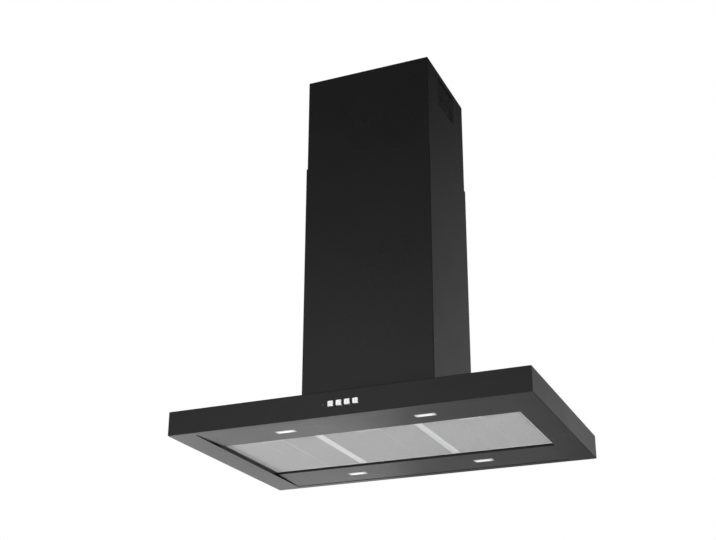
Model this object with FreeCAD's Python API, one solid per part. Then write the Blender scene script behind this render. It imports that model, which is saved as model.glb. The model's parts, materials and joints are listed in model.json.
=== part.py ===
import FreeCAD, Part
import math
import os

# Ceiling-hung range hood: a flat black canopy under a chimney in two telescoping halves.
# All sizes are in millimetres. The origin is the centre of the ceiling plate's top face, +Z is up
# and the front, with the push buttons, faces -Y. Left and right are those of someone facing the front.

Vector = FreeCAD.Vector
X_AXIS = Vector(1, 0, 0)
Y_AXIS = Vector(0, 1, 0)
Z_AXIS = Vector(0, 0, 1)
SIDES = (("left", -1), ("right", 1))
ENDS = (("front", -1), ("rear", 1))
CORNERS = [(x, y) for x in (-1, 1) for y in (-1, 1)]

# ---- driving dimensions -------------------------------------------------------------------------
HOOD_HEIGHT = 1005.0          # ceiling to the canopy's bottom edge
HEIGHT_TRAVEL = 150.0         # the height setting, up or down from the middle

CANOPY_WIDTH = 900.0
CANOPY_DEPTH = 600.0
CANOPY_HEIGHT = 60.0
CANOPY_SHEET = 1.2
CANOPY_CORNER = 2.0
CANOPY_FOLD = 1.5             # outside radius of the folds along its top and bottom edges
OPENING_FOLD = 0.9            # the same round the underside opening and on the light strips
SIDE_FLANGE = 67.0            # flat border under the canopy, left and right
END_FLANGE = 20.0             # the same, front and rear
SIDE_LIP = 22.0               # upturned edge of the underside opening, left and right
END_LIP = 10.0                # the same, front and rear
STRIP_RECESS = (1.0, 4.6)     # light strips above the bottom edge, at their outer and inner edge
FILTER_RECESS = 9.4           # filters above the bottom edge
FILTER_BAY_DEPTH = 306.0      # front to back between the light strips

CHIMNEY_SHEET = 1.0
CHIMNEY_CORNER = 3.0
LOWER_CHIMNEY = (347.0, 287.0, 680.0)
UPPER_CHIMNEY = (343.0, 283.0, 500.0)
VENT_WIDTH = 120.0
VENT_TOP = -15.0
VENT_BOTTOM = -98.0

FILTER_COUNT = 3
FILTER_THICKNESS = 9.0
FILTER_RIM = 9.5
FILTER_GAP = 0.8
MESH_THICKNESS = 6.0
MESH_LAYER = 0.8
MESH_EDGE = 5.0               # how far the mesh reaches into the rim
HINGE_ROD_RADIUS = 2.0
HINGE_FIT = 0.1

LAMP_X = 176.0
LAMP_Y = 216.5
LAMP_LENGTH = 50.0
LAMP_WIDTH = 20.0
LAMP_GAP = 0.4                # window larger and lens smaller than the lamp's size by this much

BUTTON_NAMES = ("button_light", "button_speed_1", "button_speed_2", "button_speed_3")
BUTTON_PITCH = 20.5
BUTTON_ROW_X = 7.7            # middle of the button row
BUTTON_RISE = 30.0            # above the canopy's bottom edge
BUTTON_SIZE = 12.6
BUTTON_HOLE = 13.6
BUTTON_PROUD = 3.0
BUTTON_TRAVEL = 2.5
INDICATOR_X = -42.0
INDICATOR_RADIUS = 2.0

PLATE_THICKNESS = 3.0
DUCT_OPENING = (256.0, 184.0)
CEILING_BOLTS = (296.0, 230.0)
CEILING_BOLT_RADIUS = 4.5
ANGLE_LEG = 25.0
ANGLE_THICKNESS = 2.0
UPPER_ANGLE = (168.5, 138.5)  # outer faces of the upper frame's angles
LOWER_ANGLE = (166.0, 136.0)  # the lower frame slides inside the upper one
UPPER_ANGLE_END = -480.0
LOWER_ANGLE_TOP = -200.0
STRAP_THICKNESS = 1.5
STRAP_WIDTH = 24.0
CLAMP_Z = -240.0
SCREW_Z = -14.0

BLOWER_SIZE = (300.0, 240.0, 280.0)
GASKET_THICKNESS = 3.0
GASKET_WIDTH = 12.0
BLOWER_SHEET = 1.0
FAN_X = -46.0
FAN_Z = -812.0
FAN_RADIUS = 85.0
FAN_WIDTH = 100.0
FAN_BLADES = 28
BLADE_SLANT = 28.0            # degrees from the radius
SCROLL_RADIUS = 95.0
SCROLL_STEP = 9.0             # how much the scroll widens each quarter turn
SCROLL_WIDTH = 112.0
SCROLL_WALL = 2.0
INLET_RADIUS = 78.0
MOTOR_RADIUS = 42.0
SHAFT_RADIUS = 5.0
SHAFT_FIT = 0.05
DUCT_RADIUS = 75.0
DUCT_WALL = 1.5
COLLAR_HEIGHT = 62.0
FLAP_RADIUS = 71.5
FLAP_THICKNESS = 1.0
FLAP_PIN_RADIUS = 2.0
FLAP_FIT = 0.08
CABLE_RADIUS = 3.0
CABLE_BEND = 18.0

# ---- places worked out from them ------------------------------------------------------------------
BOTTOM = -HOOD_HEIGHT
CANOPY_TOP = BOTTOM + CANOPY_HEIGHT
CEILING_SIDE = CANOPY_TOP - CANOPY_SHEET              # underside of the canopy's top sheet
FRONT = -CANOPY_DEPTH / 2
OPENING_X = CANOPY_WIDTH / 2 - SIDE_FLANGE
OPENING_Y = CANOPY_DEPTH / 2 - END_FLANGE
BAY_Y = FILTER_BAY_DEPTH / 2
STRIP_EDGES = (BOTTOM + STRIP_RECESS[0], BOTTOM + STRIP_RECESS[1])
STRIP_SLOPE = math.atan2(STRIP_RECESS[1] - STRIP_RECESS[0], OPENING_Y - BAY_Y)
LAMP_Z = STRIP_EDGES[0] + (OPENING_Y - LAMP_Y) * math.tan(STRIP_SLOPE)
LAMP_SEAT = LAMP_Z + CANOPY_SHEET                     # the strip's upper side at the lamps
SIDE_LIP_TOP = BOTTOM + SIDE_LIP
END_LIP_TOP = BOTTOM + END_LIP
AIR_HOLE = (BLOWER_SIZE[0] - 2 * GASKET_WIDTH, BLOWER_SIZE[1] - 2 * GASKET_WIDTH)

FILTER_Z = BOTTOM + FILTER_RECESS
FILTER_TOP = FILTER_Z + FILTER_THICKNESS
FILTER_PITCH = 2 * OPENING_X / FILTER_COUNT
FILTER_HALF = (FILTER_PITCH - FILTER_GAP) / 2
FILTER_END_Y = BAY_Y - 1.0
HINGE_Y = FILTER_END_Y - FILTER_THICKNESS / 2
HINGE_Z = FILTER_Z + FILTER_THICKNESS / 2
FILTER_SIDES = ("left", "middle", "right")
MESH_HEIGHT = (HINGE_Z - MESH_THICKNESS / 2, HINGE_Z + MESH_THICKNESS / 2)

BUTTON_Z = BOTTOM + BUTTON_RISE
PANEL_BACK = FRONT + CANOPY_SHEET

BLOWER_BOTTOM = CANOPY_TOP + GASKET_THICKNESS
BLOWER_TOP = BLOWER_BOTTOM + BLOWER_SIZE[2]
OUTLET_LEFT = FAN_X - SCROLL_STEP / 2
OUTLET_RIGHT = FAN_X + SCROLL_STEP / 2 + SCROLL_RADIUS + 2 * SCROLL_STEP
DUCT_X = (OUTLET_LEFT + OUTLET_RIGHT) / 2
COLLAR_TOP = BLOWER_TOP + COLLAR_HEIGHT
FLAP_Z = BLOWER_TOP + 16.0

ANGLE_MIDDLE_Y = UPPER_ANGLE[1] - 14.5                # line of the screws in the angles' side legs
FOOT_BOLT = (157.5, 112.0)
STRAP_LEVELS = (CLAMP_Z - 50.0, BLOWER_TOP + 30.0)    # undersides of the lower frame's straps


# ---- small helpers ----------------------------------------------------------------------------------
def block(x, y, z):
    """A box from three (low, high) pairs."""
    return Part.makeBox(x[1] - x[0], y[1] - y[0], z[1] - z[0], Vector(x[0], y[0], z[0]))


def slab(width, depth, z, x=0.0, y=0.0):
    """A box of that width and depth, centred on (x, y), over the heights z."""
    return block((x - width / 2, x + width / 2), (y - depth / 2, y + depth / 2), z)


def side_block(side, x, y, z):
    """A box on the left (-1) or right (+1), its x pair given as distances from the middle."""
    low, high = sorted((side * x[0], side * x[1]))
    return block((low, high), y, z)


def corner_block(corner, x, y, z):
    """A box in one of the four corners, its x and y pairs given as distances from the middle."""
    low, high = sorted((corner[1] * y[0], corner[1] * y[1]))
    return side_block(corner[0], x, (low, high), z)


def rod(radius, start, end):
    """A round bar between two points."""
    run = Vector(*end) - Vector(*start)
    return Part.makeCylinder(radius, run.Length, Vector(*start), run)


def side_rod(side, radius, x, y, z):
    """A round bar along X between two distances from the middle."""
    return rod(radius, (side * x[0], y, z), (side * x[1], y, z))


def join(pieces):
    """One solid from touching pieces."""
    return pieces[0].fuse(pieces[1:]).removeSplitter()


def cut(body, tools):
    return body.cut(tools).removeSplitter()


def runs_along(edge, axis):
    direction = edge.tangentAt(edge.FirstParameter)
    return abs(direction.dot(axis)) > 0.99


def rounded_slab(width, depth, z, radius):
    """A box whose four upright edges are rounded."""
    body = slab(width, depth, z)
    return body.makeFillet(radius, [edge for edge in body.Edges if runs_along(edge, Z_AXIS)])


def level_edges(body, z, reach):
    """Edges that lie flat at the height z, within the reach from the middle in x and y."""
    found = []
    for edge in body.Edges:
        box = edge.BoundBox
        flat = abs(box.ZMin - z) < 0.01 and abs(box.ZMax - z) < 0.01
        if flat and max(-box.XMin, box.XMax) < reach[0] and max(-box.YMin, box.YMax) < reach[1]:
            found.append(edge)
    return found


def ring(outer, inner, z, x=0.0, y=0.0):
    """A rectangular frame between two (width, depth) outlines."""
    tall = (z[0] - 1, z[1] + 1)
    return slab(outer[0], outer[1], z, x, y).cut(slab(inner[0], inner[1], tall, x, y))


def button_square(x, size, y):
    """A bar of square section along Y, at the height of the buttons."""
    half = size / 2
    return block((x - half, x + half), y, (BUTTON_Z - half, BUTTON_Z + half))


def button_rod(x, radius, y):
    """A round bar along Y, at the height of the buttons."""
    return rod(radius, (x, y[0], BUTTON_Z), (x, y[1], BUTTON_Z))


def washer(radius, bore, start, end):
    """A round bar with a hole along it."""
    return rod(radius, start, end).cut(rod(bore, start, end))


def save(name, shape):
    shape.exportStep("parts/%s.step" % name)
    print("%-26s solids %2d  volume %9.1f cm3  valid %s"
          % (name, len(shape.Solids), shape.Volume / 1000.0, shape.isValid()))


def group(pieces):
    return Part.makeCompound(pieces)


# ---- canopy -------------------------------------------------------------------------------------------
def button_x(index):
    return BUTTON_ROW_X + (index - (len(BUTTON_NAMES) - 1) / 2.0) * BUTTON_PITCH


def foot_bolt_places():
    return [(x * FOOT_BOLT[0], y * FOOT_BOLT[1]) for x, y in CORNERS]


def cable_points():
    """Control cable: out of the driver box, down beside the blower, forward to the button housing."""
    x = -110.0
    down_y = -BLOWER_SIZE[1] / 2 - 6.0
    run_y = PANEL_BACK + 15.0
    return [Vector(x, -90.0, BLOWER_TOP + 22.0), Vector(x, down_y, BLOWER_TOP + 22.0),
            Vector(x, down_y, CANOPY_TOP - 11.0), Vector(x, run_y, BUTTON_Z),
            Vector(-50.0, run_y, BUTTON_Z)]


def canopy_shell():
    """Folded and welded sheet: top, four sides, bottom flanges and the lips round the opening."""
    width, depth, sheet = CANOPY_WIDTH, CANOPY_DEPTH, CANOPY_SHEET
    body = rounded_slab(width, depth, (BOTTOM, CANOPY_TOP), CANOPY_CORNER)
    body = body.makeFillet(CANOPY_FOLD, level_edges(body, BOTTOM, (width, depth))
                           + level_edges(body, CANOPY_TOP, (width, depth)))
    inside = slab(width - 2 * sheet, depth - 2 * sheet, (BOTTOM + sheet, CEILING_SIDE))
    opening = slab(2 * OPENING_X, 2 * OPENING_Y, (BOTTOM - 1, BOTTOM + sheet + 1))
    lips = [ring((2 * (OPENING_X + sheet), 2 * (OPENING_Y + sheet)), (2 * OPENING_X, 2 * OPENING_Y),
                 (BOTTOM, END_LIP_TOP))]
    for _, side in SIDES:
        lips.append(side_block(side, (OPENING_X, OPENING_X + sheet), (-OPENING_Y, OPENING_Y),
                               (BOTTOM, SIDE_LIP_TOP)))
    body = join([cut(body, [inside, opening])] + lips)
    body = body.makeFillet(OPENING_FOLD, level_edges(body, BOTTOM, (OPENING_X + 0.1, OPENING_Y + 0.1)))
    holes = [slab(AIR_HOLE[0], AIR_HOLE[1], (CEILING_SIDE - 1, CANOPY_TOP + 1))]
    for x, y in foot_bolt_places():
        holes.append(rod(2.6, (x, y, CEILING_SIDE - 1), (x, y, CANOPY_TOP + 1)))
    panel = (FRONT - 1, PANEL_BACK + 1)
    for index in range(len(BUTTON_NAMES)):
        holes.append(button_square(button_x(index), BUTTON_HOLE, panel))
    holes.append(button_rod(INDICATOR_X, INDICATOR_RADIUS, panel))
    holes.append(rod(HINGE_ROD_RADIUS, (-OPENING_X - 3, HINGE_Y, HINGE_Z), (OPENING_X + 3, HINGE_Y, HINGE_Z)))
    drop = cable_points()[1]
    passage = 2 * CABLE_RADIUS
    holes.append(rod(passage, (drop.x, drop.y, CEILING_SIDE - 1), (drop.x, drop.y, CANOPY_TOP + 1)))
    return cut(body, holes)


def on_strip(piece, end):
    """Tilts a piece about the middle of a lamp's window, so that it lies on the sloping light strip."""
    return piece.rotate(Vector(0, end * LAMP_Y, LAMP_Z), X_AXIS, -end * math.degrees(STRIP_SLOPE))


def light_strip(end):
    """Shallow tray that slopes from the canopy's edge up to the filters, with a window for each lamp."""
    def across(y, z):
        return block((-OPENING_X, OPENING_X), sorted((end * y[0], end * y[1])), z)

    wall = CANOPY_SHEET
    low, high = STRIP_EDGES
    rise = wall / math.cos(STRIP_SLOPE)
    outline = [(OPENING_Y, low), (BAY_Y, high), (BAY_Y, high + rise), (OPENING_Y, low + rise)]
    corners = [Vector(-OPENING_X, end * y, z) for y, z in outline + outline[:1]]
    plate = Part.Face(Part.makePolygon(corners)).extrude(Vector(2 * OPENING_X, 0, 0))
    walls = [across((BAY_Y, BAY_Y + wall), (high + wall / 2, SIDE_LIP_TOP)),
             across((OPENING_Y - wall, OPENING_Y), (low + wall / 2, END_LIP_TOP))]
    tray = join([plate] + walls)
    folds = [edge for z in STRIP_EDGES for edge in level_edges(tray, z, (OPENING_X + 1, OPENING_Y + 1))
             if runs_along(edge, X_AXIS)]
    through = (LAMP_Z - 1, LAMP_SEAT + 1)
    windows = []
    for _, side in SIDES:
        window = slab(LAMP_LENGTH + LAMP_GAP, LAMP_WIDTH + LAMP_GAP, through, side * LAMP_X, end * LAMP_Y)
        windows.append(on_strip(window, end))
    return cut(tray.makeFillet(OPENING_FOLD, folds), windows)


def air_chamber():
    """Sheet walls that stand on the filter bay's edges and seal it up to the canopy's top."""
    wall = CANOPY_SHEET
    inner = (2 * OPENING_X, 2 * BAY_Y)
    body = ring((inner[0] + 2 * wall, inner[1] + 2 * wall), inner, (SIDE_LIP_TOP, CEILING_SIDE))
    start, end = cable_points()[2:4]
    return cut(body, [rod(CABLE_RADIUS + 1.5, tuple(start), tuple(end))])


def filter_hinge_rod():
    """One rod along the rear of the filter bay, which all three filters snap onto."""
    reach = OPENING_X + CANOPY_SHEET + 1.0
    return rod(HINGE_ROD_RADIUS, (-reach, HINGE_Y, HINGE_Z), (reach, HINGE_Y, HINGE_Z))


# ---- grease filters -----------------------------------------------------------------------------------
LATCH_BOSS = (28.0, 24.0)      # half width and depth of the thick part of the front rim
LATCH_POCKET = (24.0, 19.0)
LATCH_TRAVEL = 4.5


def filter_x(index):
    return (index - (FILTER_COUNT - 1) / 2.0) * FILTER_PITCH


def filter_frame(index):
    """Aluminium rim with a groove for the mesh, a round rear edge that hinges, and a latch pocket."""
    x, front = filter_x(index), -FILTER_END_Y
    left, right = x - FILTER_HALF, x + FILTER_HALF
    low, high = FILTER_Z, FILTER_TOP
    middle = (low + high) / 2
    body = join([block((left, right), (front, HINGE_Y), (low, high)),
                 rod(FILTER_THICKNESS / 2, (left, HINGE_Y, HINGE_Z), (right, HINGE_Y, HINGE_Z))])
    rim = FILTER_RIM
    inside = block((left + rim, right - rim), (front + rim, FILTER_END_Y - rim), (low - 1, high + 1))
    body = cut(body, [inside])
    boss = block((x - LATCH_BOSS[0], x + LATCH_BOSS[0]), (front, front + LATCH_BOSS[1]), (low, high))
    body = join([body, boss])
    wall = 2.0
    pocket_depth = (front + wall, front + wall + LATCH_POCKET[1])
    pocket = block((x - LATCH_POCKET[0], x + LATCH_POCKET[0]), pocket_depth, (low - 1, high - wall))
    tongue_way = block((x - 8.4, x + 8.4), (front - 1, front + wall + 1), (middle - 3.4, middle + 0.4))
    bore = rod(HINGE_ROD_RADIUS + HINGE_FIT, (left - 1, HINGE_Y, HINGE_Z), (right + 1, HINGE_Y, HINGE_Z))
    snap_slot = block((left - 1, right + 1), (HINGE_Y - 1.7, HINGE_Y + 1.7), (HINGE_Z, high + 1))
    return cut(body, [mesh_space(index, MESH_HEIGHT), pocket, tongue_way, bore, snap_slot])


def mesh_space(index, height):
    """Room for the mesh between two heights, reaching into the rim all round."""
    x, front = filter_x(index), -FILTER_END_Y
    half = FILTER_HALF - FILTER_RIM + MESH_EDGE
    depth = (front + FILTER_RIM - MESH_EDGE, FILTER_END_Y - FILTER_RIM + 1.5)
    pad = block((x - half, x + half), depth, height)
    notch = block((x - LATCH_BOSS[0], x + LATCH_BOSS[0]), (front, front + LATCH_BOSS[1]), height)
    return pad.cut(notch)


def filter_mesh(index):
    """Lower and upper layer of expanded metal, held apart by the rim's groove."""
    low, high = MESH_HEIGHT
    return group([mesh_space(index, (low, low + MESH_LAYER)), mesh_space(index, (high - MESH_LAYER, high))])


def filter_latch(index):
    """Sliding catch in the front rim, with a finger recess underneath and a tongue to the front."""
    x, front = filter_x(index), -FILTER_END_Y
    middle = (FILTER_Z + FILTER_TOP) / 2
    low = FILTER_Z + 0.4
    slider = block((x - 23.6, x + 23.6), (front + 2.4, front + 15.0), (low, FILTER_TOP - 2.4))
    tongue = block((x - 8.0, x + 8.0), (front + 0.4, front + 3.0), (middle - 3.0, middle))
    recess = block((x - 15.0, x + 15.0), (front + 5.0, front + 12.0), (low - 1, low + 3.0))
    return cut(join([slider, tongue]), [recess])


# ---- lamps --------------------------------------------------------------------------------------------
LAMP_LIP = 4.0
LAMP_WALL = 1.5
LAMP_HEIGHT = 14.8


def lamp_lens(side, end):
    """Frosted block that fills the strip's window, with a lip that rests on the strip."""
    x, y = side * LAMP_X, end * LAMP_Y
    plug = slab(LAMP_LENGTH - LAMP_GAP, LAMP_WIDTH - LAMP_GAP, (LAMP_Z - 0.4, LAMP_SEAT), x, y)
    lip = slab(LAMP_LENGTH + LAMP_LIP, LAMP_WIDTH + LAMP_LIP, (LAMP_SEAT, LAMP_SEAT + 1.2), x, y)
    return on_strip(join([plug, lip]), end)


def lamp_housing(side, end):
    """Cap over the lens, open underneath."""
    x, y = side * LAMP_X, end * LAMP_Y
    inside = (LAMP_LENGTH + LAMP_LIP, LAMP_WIDTH + LAMP_LIP)
    outside = (inside[0] + 2 * LAMP_WALL, inside[1] + 2 * LAMP_WALL)
    top = LAMP_SEAT + LAMP_HEIGHT
    body = slab(outside[0], outside[1], (LAMP_SEAT, top), x, y)
    fins = [slab(1.5, outside[1], (top, top + 5.0), x + step, y) for step in (-20.0, -10.0, 0.0, 10.0, 20.0)]
    hollow = slab(inside[0], inside[1], (LAMP_SEAT - 1, top - LAMP_WALL), x, y)
    return on_strip(cut(join([body] + fins), [hollow]), end)


def lamp_boards():
    """Four small boards with three light chips each, up inside the housings."""
    boards = []
    top = LAMP_SEAT + LAMP_HEIGHT - LAMP_WALL
    for side, end in CORNERS:
        x, y = side * LAMP_X, end * LAMP_Y
        board = slab(LAMP_LENGTH, LAMP_WIDTH, (top - 1.6, top), x, y)
        chips = [slab(5.0, 5.0, (top - 2.6, top - 1.6), x + step, y) for step in (-16.0, 0.0, 16.0)]
        boards.append(on_strip(join([board] + chips), end))
    return group(boards)


# ---- push buttons -------------------------------------------------------------------------------------
HOUSING_X = (-50.0, 50.0)
HOUSING_HALF = 15.0
HOUSING_BACK = PANEL_BACK + 28.0
HOUSING_WALL = 1.5
GUIDE_Y = (PANEL_BACK + 7.0, PANEL_BACK + 9.0)
STEM_SIZE = 10.0
PLUNGER_RADIUS = 1.5
STEM_END = PANEL_BACK + 14.3
SWITCH_Y = (STEM_END + BUTTON_TRAVEL + 0.4, STEM_END + BUTTON_TRAVEL + 4.4)


def control_housing():
    """Plastic box behind the front panel, with a wall that guides the button stems."""
    low, high = BUTTON_Z - HOUSING_HALF, BUTTON_Z + HOUSING_HALF
    wall = HOUSING_WALL
    outer = block(HOUSING_X, (PANEL_BACK, HOUSING_BACK), (low, high))
    inner = block((HOUSING_X[0] + wall, HOUSING_X[1] - wall), (PANEL_BACK - 1, HOUSING_BACK - wall),
                  (low + wall, high - wall))
    guide = block((HOUSING_X[0] + wall, HOUSING_X[1] - wall), GUIDE_Y, (low + wall, high - wall))
    through = (GUIDE_Y[0] - 1, GUIDE_Y[1] + 1)
    holes = [button_square(button_x(index), STEM_SIZE + 0.6, through) for index in range(len(BUTTON_NAMES))]
    holes.append(button_rod(INDICATOR_X, INDICATOR_RADIUS, through))
    cable = cable_points()[4]
    left = HOUSING_X[0]
    holes.append(rod(CABLE_RADIUS, (left - 1, cable.y, cable.z), (left + wall + 1, cable.y, cable.z)))
    return cut(join([cut(outer, [inner]), guide]), holes)


def button(index):
    """Square cap, a flange that keeps it in, a guided stem and a plunger into its switch."""
    x = button_x(index)
    cap_back = PANEL_BACK + 0.4
    cap = button_square(x, BUTTON_SIZE, (FRONT - BUTTON_PROUD, cap_back))
    front_edges = [edge for edge in cap.Edges
                   if edge.BoundBox.YMax < FRONT or abs(edge.tangentAt(edge.FirstParameter).y) > 0.99]
    cap = cap.makeFillet(0.9, front_edges)
    flange = button_square(x, BUTTON_SIZE + 3.0, (cap_back, cap_back + 1.0))
    stem = button_square(x, STEM_SIZE, (cap_back + 1.0, STEM_END))
    plunger = button_rod(x, PLUNGER_RADIUS, (STEM_END, STEM_END + 3.5))
    return join([cap, flange, stem, plunger])


def control_board():
    """Upright circuit board with one push switch behind each button."""
    wall = HOUSING_WALL
    half = HOUSING_HALF - wall
    board = block((HOUSING_X[0] + wall, HOUSING_X[1] - wall), (SWITCH_Y[1], SWITCH_Y[1] + 1.6),
                  (BUTTON_Z - half, BUTTON_Z + half))
    switches = []
    wells = []
    for index in range(len(BUTTON_NAMES)):
        x = button_x(index)
        switches.append(button_square(x, 7.0, SWITCH_Y))
        wells.append(button_rod(x, PLUNGER_RADIUS + 0.4, (SWITCH_Y[0] - 1, SWITCH_Y[1] - 0.5)))
    return cut(join([board] + switches), wells)


def indicator_light():
    """Round light pipe from the board to the front panel."""
    return button_rod(INDICATOR_X, INDICATOR_RADIUS, (FRONT - 0.6, SWITCH_Y[1]))


# ---- blower -------------------------------------------------------------------------------------------
def blower_gasket():
    """Foam strip round the canopy's air hole, under the blower box's walls."""
    return ring((BLOWER_SIZE[0], BLOWER_SIZE[1]), AIR_HOLE, (CANOPY_TOP, BLOWER_BOTTOM))


def blower_box():
    """Sheet box over the canopy's air hole, open underneath, with the fan's outlet in its top."""
    sheet = BLOWER_SHEET
    outer = slab(BLOWER_SIZE[0], BLOWER_SIZE[1], (BLOWER_BOTTOM, BLOWER_TOP))
    inner = slab(BLOWER_SIZE[0] - 2 * sheet, BLOWER_SIZE[1] - 2 * sheet,
                 (BLOWER_BOTTOM - 1, BLOWER_TOP - sheet))
    half = SCROLL_WIDTH / 2 - SCROLL_WALL
    outlet = block((OUTLET_LEFT, OUTLET_RIGHT), (-half, half), (BLOWER_TOP - 2 * sheet, BLOWER_TOP + 1))
    return cut(outer, [inner, outlet])


def scroll_body(grow, half_width, top):
    """The snail-shaped space of the fan housing, larger by grow all round, up to the outlet's top."""
    offset = SCROLL_STEP / 2
    centres = [(-offset, -offset), (offset, -offset), (offset, offset)]
    edges = []
    for quarter, (x, z) in enumerate(centres):
        centre = Vector(FAN_X + x, -half_width, FAN_Z + z)
        radius = SCROLL_RADIUS + quarter * SCROLL_STEP + grow
        points = []
        for turn in (0.0, 0.5, 1.0):
            angle = math.radians(90.0 * (1 + quarter + turn))
            points.append(centre + Vector(radius * math.cos(angle), 0, radius * math.sin(angle)))
        edges.append(Part.Arc(*points).toShape())
        if quarter == 0:
            first = points[0]
    last = points[2]
    shoulder = Vector(last.x, last.y, first.z)
    edges.append(Part.LineSegment(last, shoulder).toShape())
    edges.append(Part.LineSegment(shoulder, first).toShape())
    snail = Part.Face(Part.Wire(edges)).extrude(Vector(0, 2 * half_width, 0))
    throat = block((OUTLET_LEFT - grow, OUTLET_RIGHT + grow), (-half_width, half_width),
                   (FAN_Z + offset, top))
    return join([snail, throat])


def blower_scroll():
    """Moulded fan housing with a round inlet on each side and its outlet on top."""
    half = SCROLL_WIDTH / 2
    top = BLOWER_TOP - BLOWER_SHEET
    outer = scroll_body(SCROLL_WALL, half, top)
    inner = scroll_body(0.0, half - SCROLL_WALL, top + 1)
    inlets = rod(INLET_RADIUS, (FAN_X, -half - 1, FAN_Z), (FAN_X, half + 1, FAN_Z))
    return cut(outer, [inner, inlets])


def fan_place(radius, degrees, y):
    angle = math.radians(degrees)
    return (FAN_X + radius * math.cos(angle), y, FAN_Z + radius * math.sin(angle))


MOUNT_ANGLES = (30.0, 150.0, 270.0)
MOUNT_CIRCLE = 86.0
BRACKET_Y = (-SCROLL_WIDTH / 2 - 4.0, -SCROLL_WIDTH / 2 - 2.0)


def motor_bracket():
    """Ring and three arms that carry the motor across the front inlet."""
    low, high = BRACKET_Y
    rim = washer(92.0, 80.0, (FAN_X, low, FAN_Z), (FAN_X, high, FAN_Z))
    hub = washer(30.0, SHAFT_RADIUS + 3.0, (FAN_X, low, FAN_Z), (FAN_X, high, FAN_Z))
    arms = []
    for angle in MOUNT_ANGLES:
        arm = block((FAN_X + 26.0, FAN_X + 84.0), (low, high), (FAN_Z - 7.0, FAN_Z + 7.0))
        arms.append(arm.rotate(Vector(FAN_X, 0, FAN_Z), Y_AXIS, -angle))
    return join([rim, hub] + arms)


def motor_mounts():
    """Three rubber discs between the bracket and the fan housing."""
    return group([rod(6.0, fan_place(MOUNT_CIRCLE, angle, BRACKET_Y[1]),
                      fan_place(MOUNT_CIRCLE, angle, -SCROLL_WIDTH / 2)) for angle in MOUNT_ANGLES])


def blower_motor():
    """Round motor with a cooling rib at each end and a bore for its shaft."""
    start, end = BRACKET_Y[1], -6.0
    body = rod(MOTOR_RADIUS - 2.0, (FAN_X, start, FAN_Z), (FAN_X, end, FAN_Z))
    bands = [rod(MOTOR_RADIUS, (FAN_X, y, FAN_Z), (FAN_X, y + 6.0, FAN_Z)) for y in (start + 4.0, end - 10.0)]
    bore = rod(SHAFT_RADIUS + SHAFT_FIT, (FAN_X, start + 6.0, FAN_Z), (FAN_X, end + 1, FAN_Z))
    return cut(join([body] + bands), [bore])


HUB_Y = (-2.0, 24.0)


def motor_shaft():
    return rod(SHAFT_RADIUS, (FAN_X, BRACKET_Y[1] + 8.0, FAN_Z), (FAN_X, HUB_Y[1], FAN_Z))


def impeller():
    """Double-sided fan wheel: a middle disc, an end ring on each side and a ring of blades."""
    half = FAN_WIDTH / 2
    inner = FAN_RADIUS - 14.0
    pieces = [rod(FAN_RADIUS, (FAN_X, 10.0, FAN_Z), (FAN_X, 12.0, FAN_Z)),
              rod(14.0, (FAN_X, HUB_Y[0], FAN_Z), (FAN_X, HUB_Y[1], FAN_Z))]
    for y in (-half, half - 2.5):
        pieces.append(washer(FAN_RADIUS, inner, (FAN_X, y, FAN_Z), (FAN_X, y + 2.5, FAN_Z)))
    for number in range(FAN_BLADES):
        blade = block((FAN_X + inner + 0.6, FAN_X + FAN_RADIUS - 0.8), (-half + 1, half - 1),
                      (FAN_Z - 0.6, FAN_Z + 0.6))
        blade.rotate(Vector(FAN_X + (inner + FAN_RADIUS) / 2, 0, FAN_Z), Y_AXIS, BLADE_SLANT)
        blade.rotate(Vector(FAN_X, 0, FAN_Z), Y_AXIS, 360.0 * number / FAN_BLADES)
        pieces.append(blade)
    bore = rod(SHAFT_RADIUS, (FAN_X, HUB_Y[0] - 1, FAN_Z), (FAN_X, HUB_Y[1] + 1, FAN_Z))
    return cut(join(pieces), [bore])


def outlet_collar():
    """Round spigot for the duct, with a square flange and a ledge that the flaps close on."""
    base = BLOWER_TOP + 2.0
    bore = DUCT_RADIUS - DUCT_WALL
    flange = slab(164.0, 164.0, (BLOWER_TOP, base), DUCT_X)
    spigot = rod(DUCT_RADIUS, (DUCT_X, 0, base), (DUCT_X, 0, COLLAR_TOP))
    air_way = rod(bore, (DUCT_X, 0, BLOWER_TOP - 1), (DUCT_X, 0, COLLAR_TOP + 1))
    body = cut(join([flange, spigot]), [air_way])
    ledge_top = FLAP_Z - FLAP_THICKNESS / 2 - 0.4
    ledge = washer(bore, bore - 4.0, (DUCT_X, 0, ledge_top - 1.5), (DUCT_X, 0, ledge_top))
    pin_hole = rod(FLAP_PIN_RADIUS, (DUCT_X, -DUCT_RADIUS - 1, FLAP_Z), (DUCT_X, DUCT_RADIUS + 1, FLAP_Z))
    return cut(join([body, ledge]), [pin_hole])


FLAP_KNUCKLES = ((-64.0, -34.0), (2.0, 32.0))         # along the pin; the other flap's fill the gaps


def flap_pin():
    reach = DUCT_RADIUS - 0.2
    return rod(FLAP_PIN_RADIUS, (DUCT_X, -reach, FLAP_Z), (DUCT_X, reach, FLAP_Z))


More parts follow.
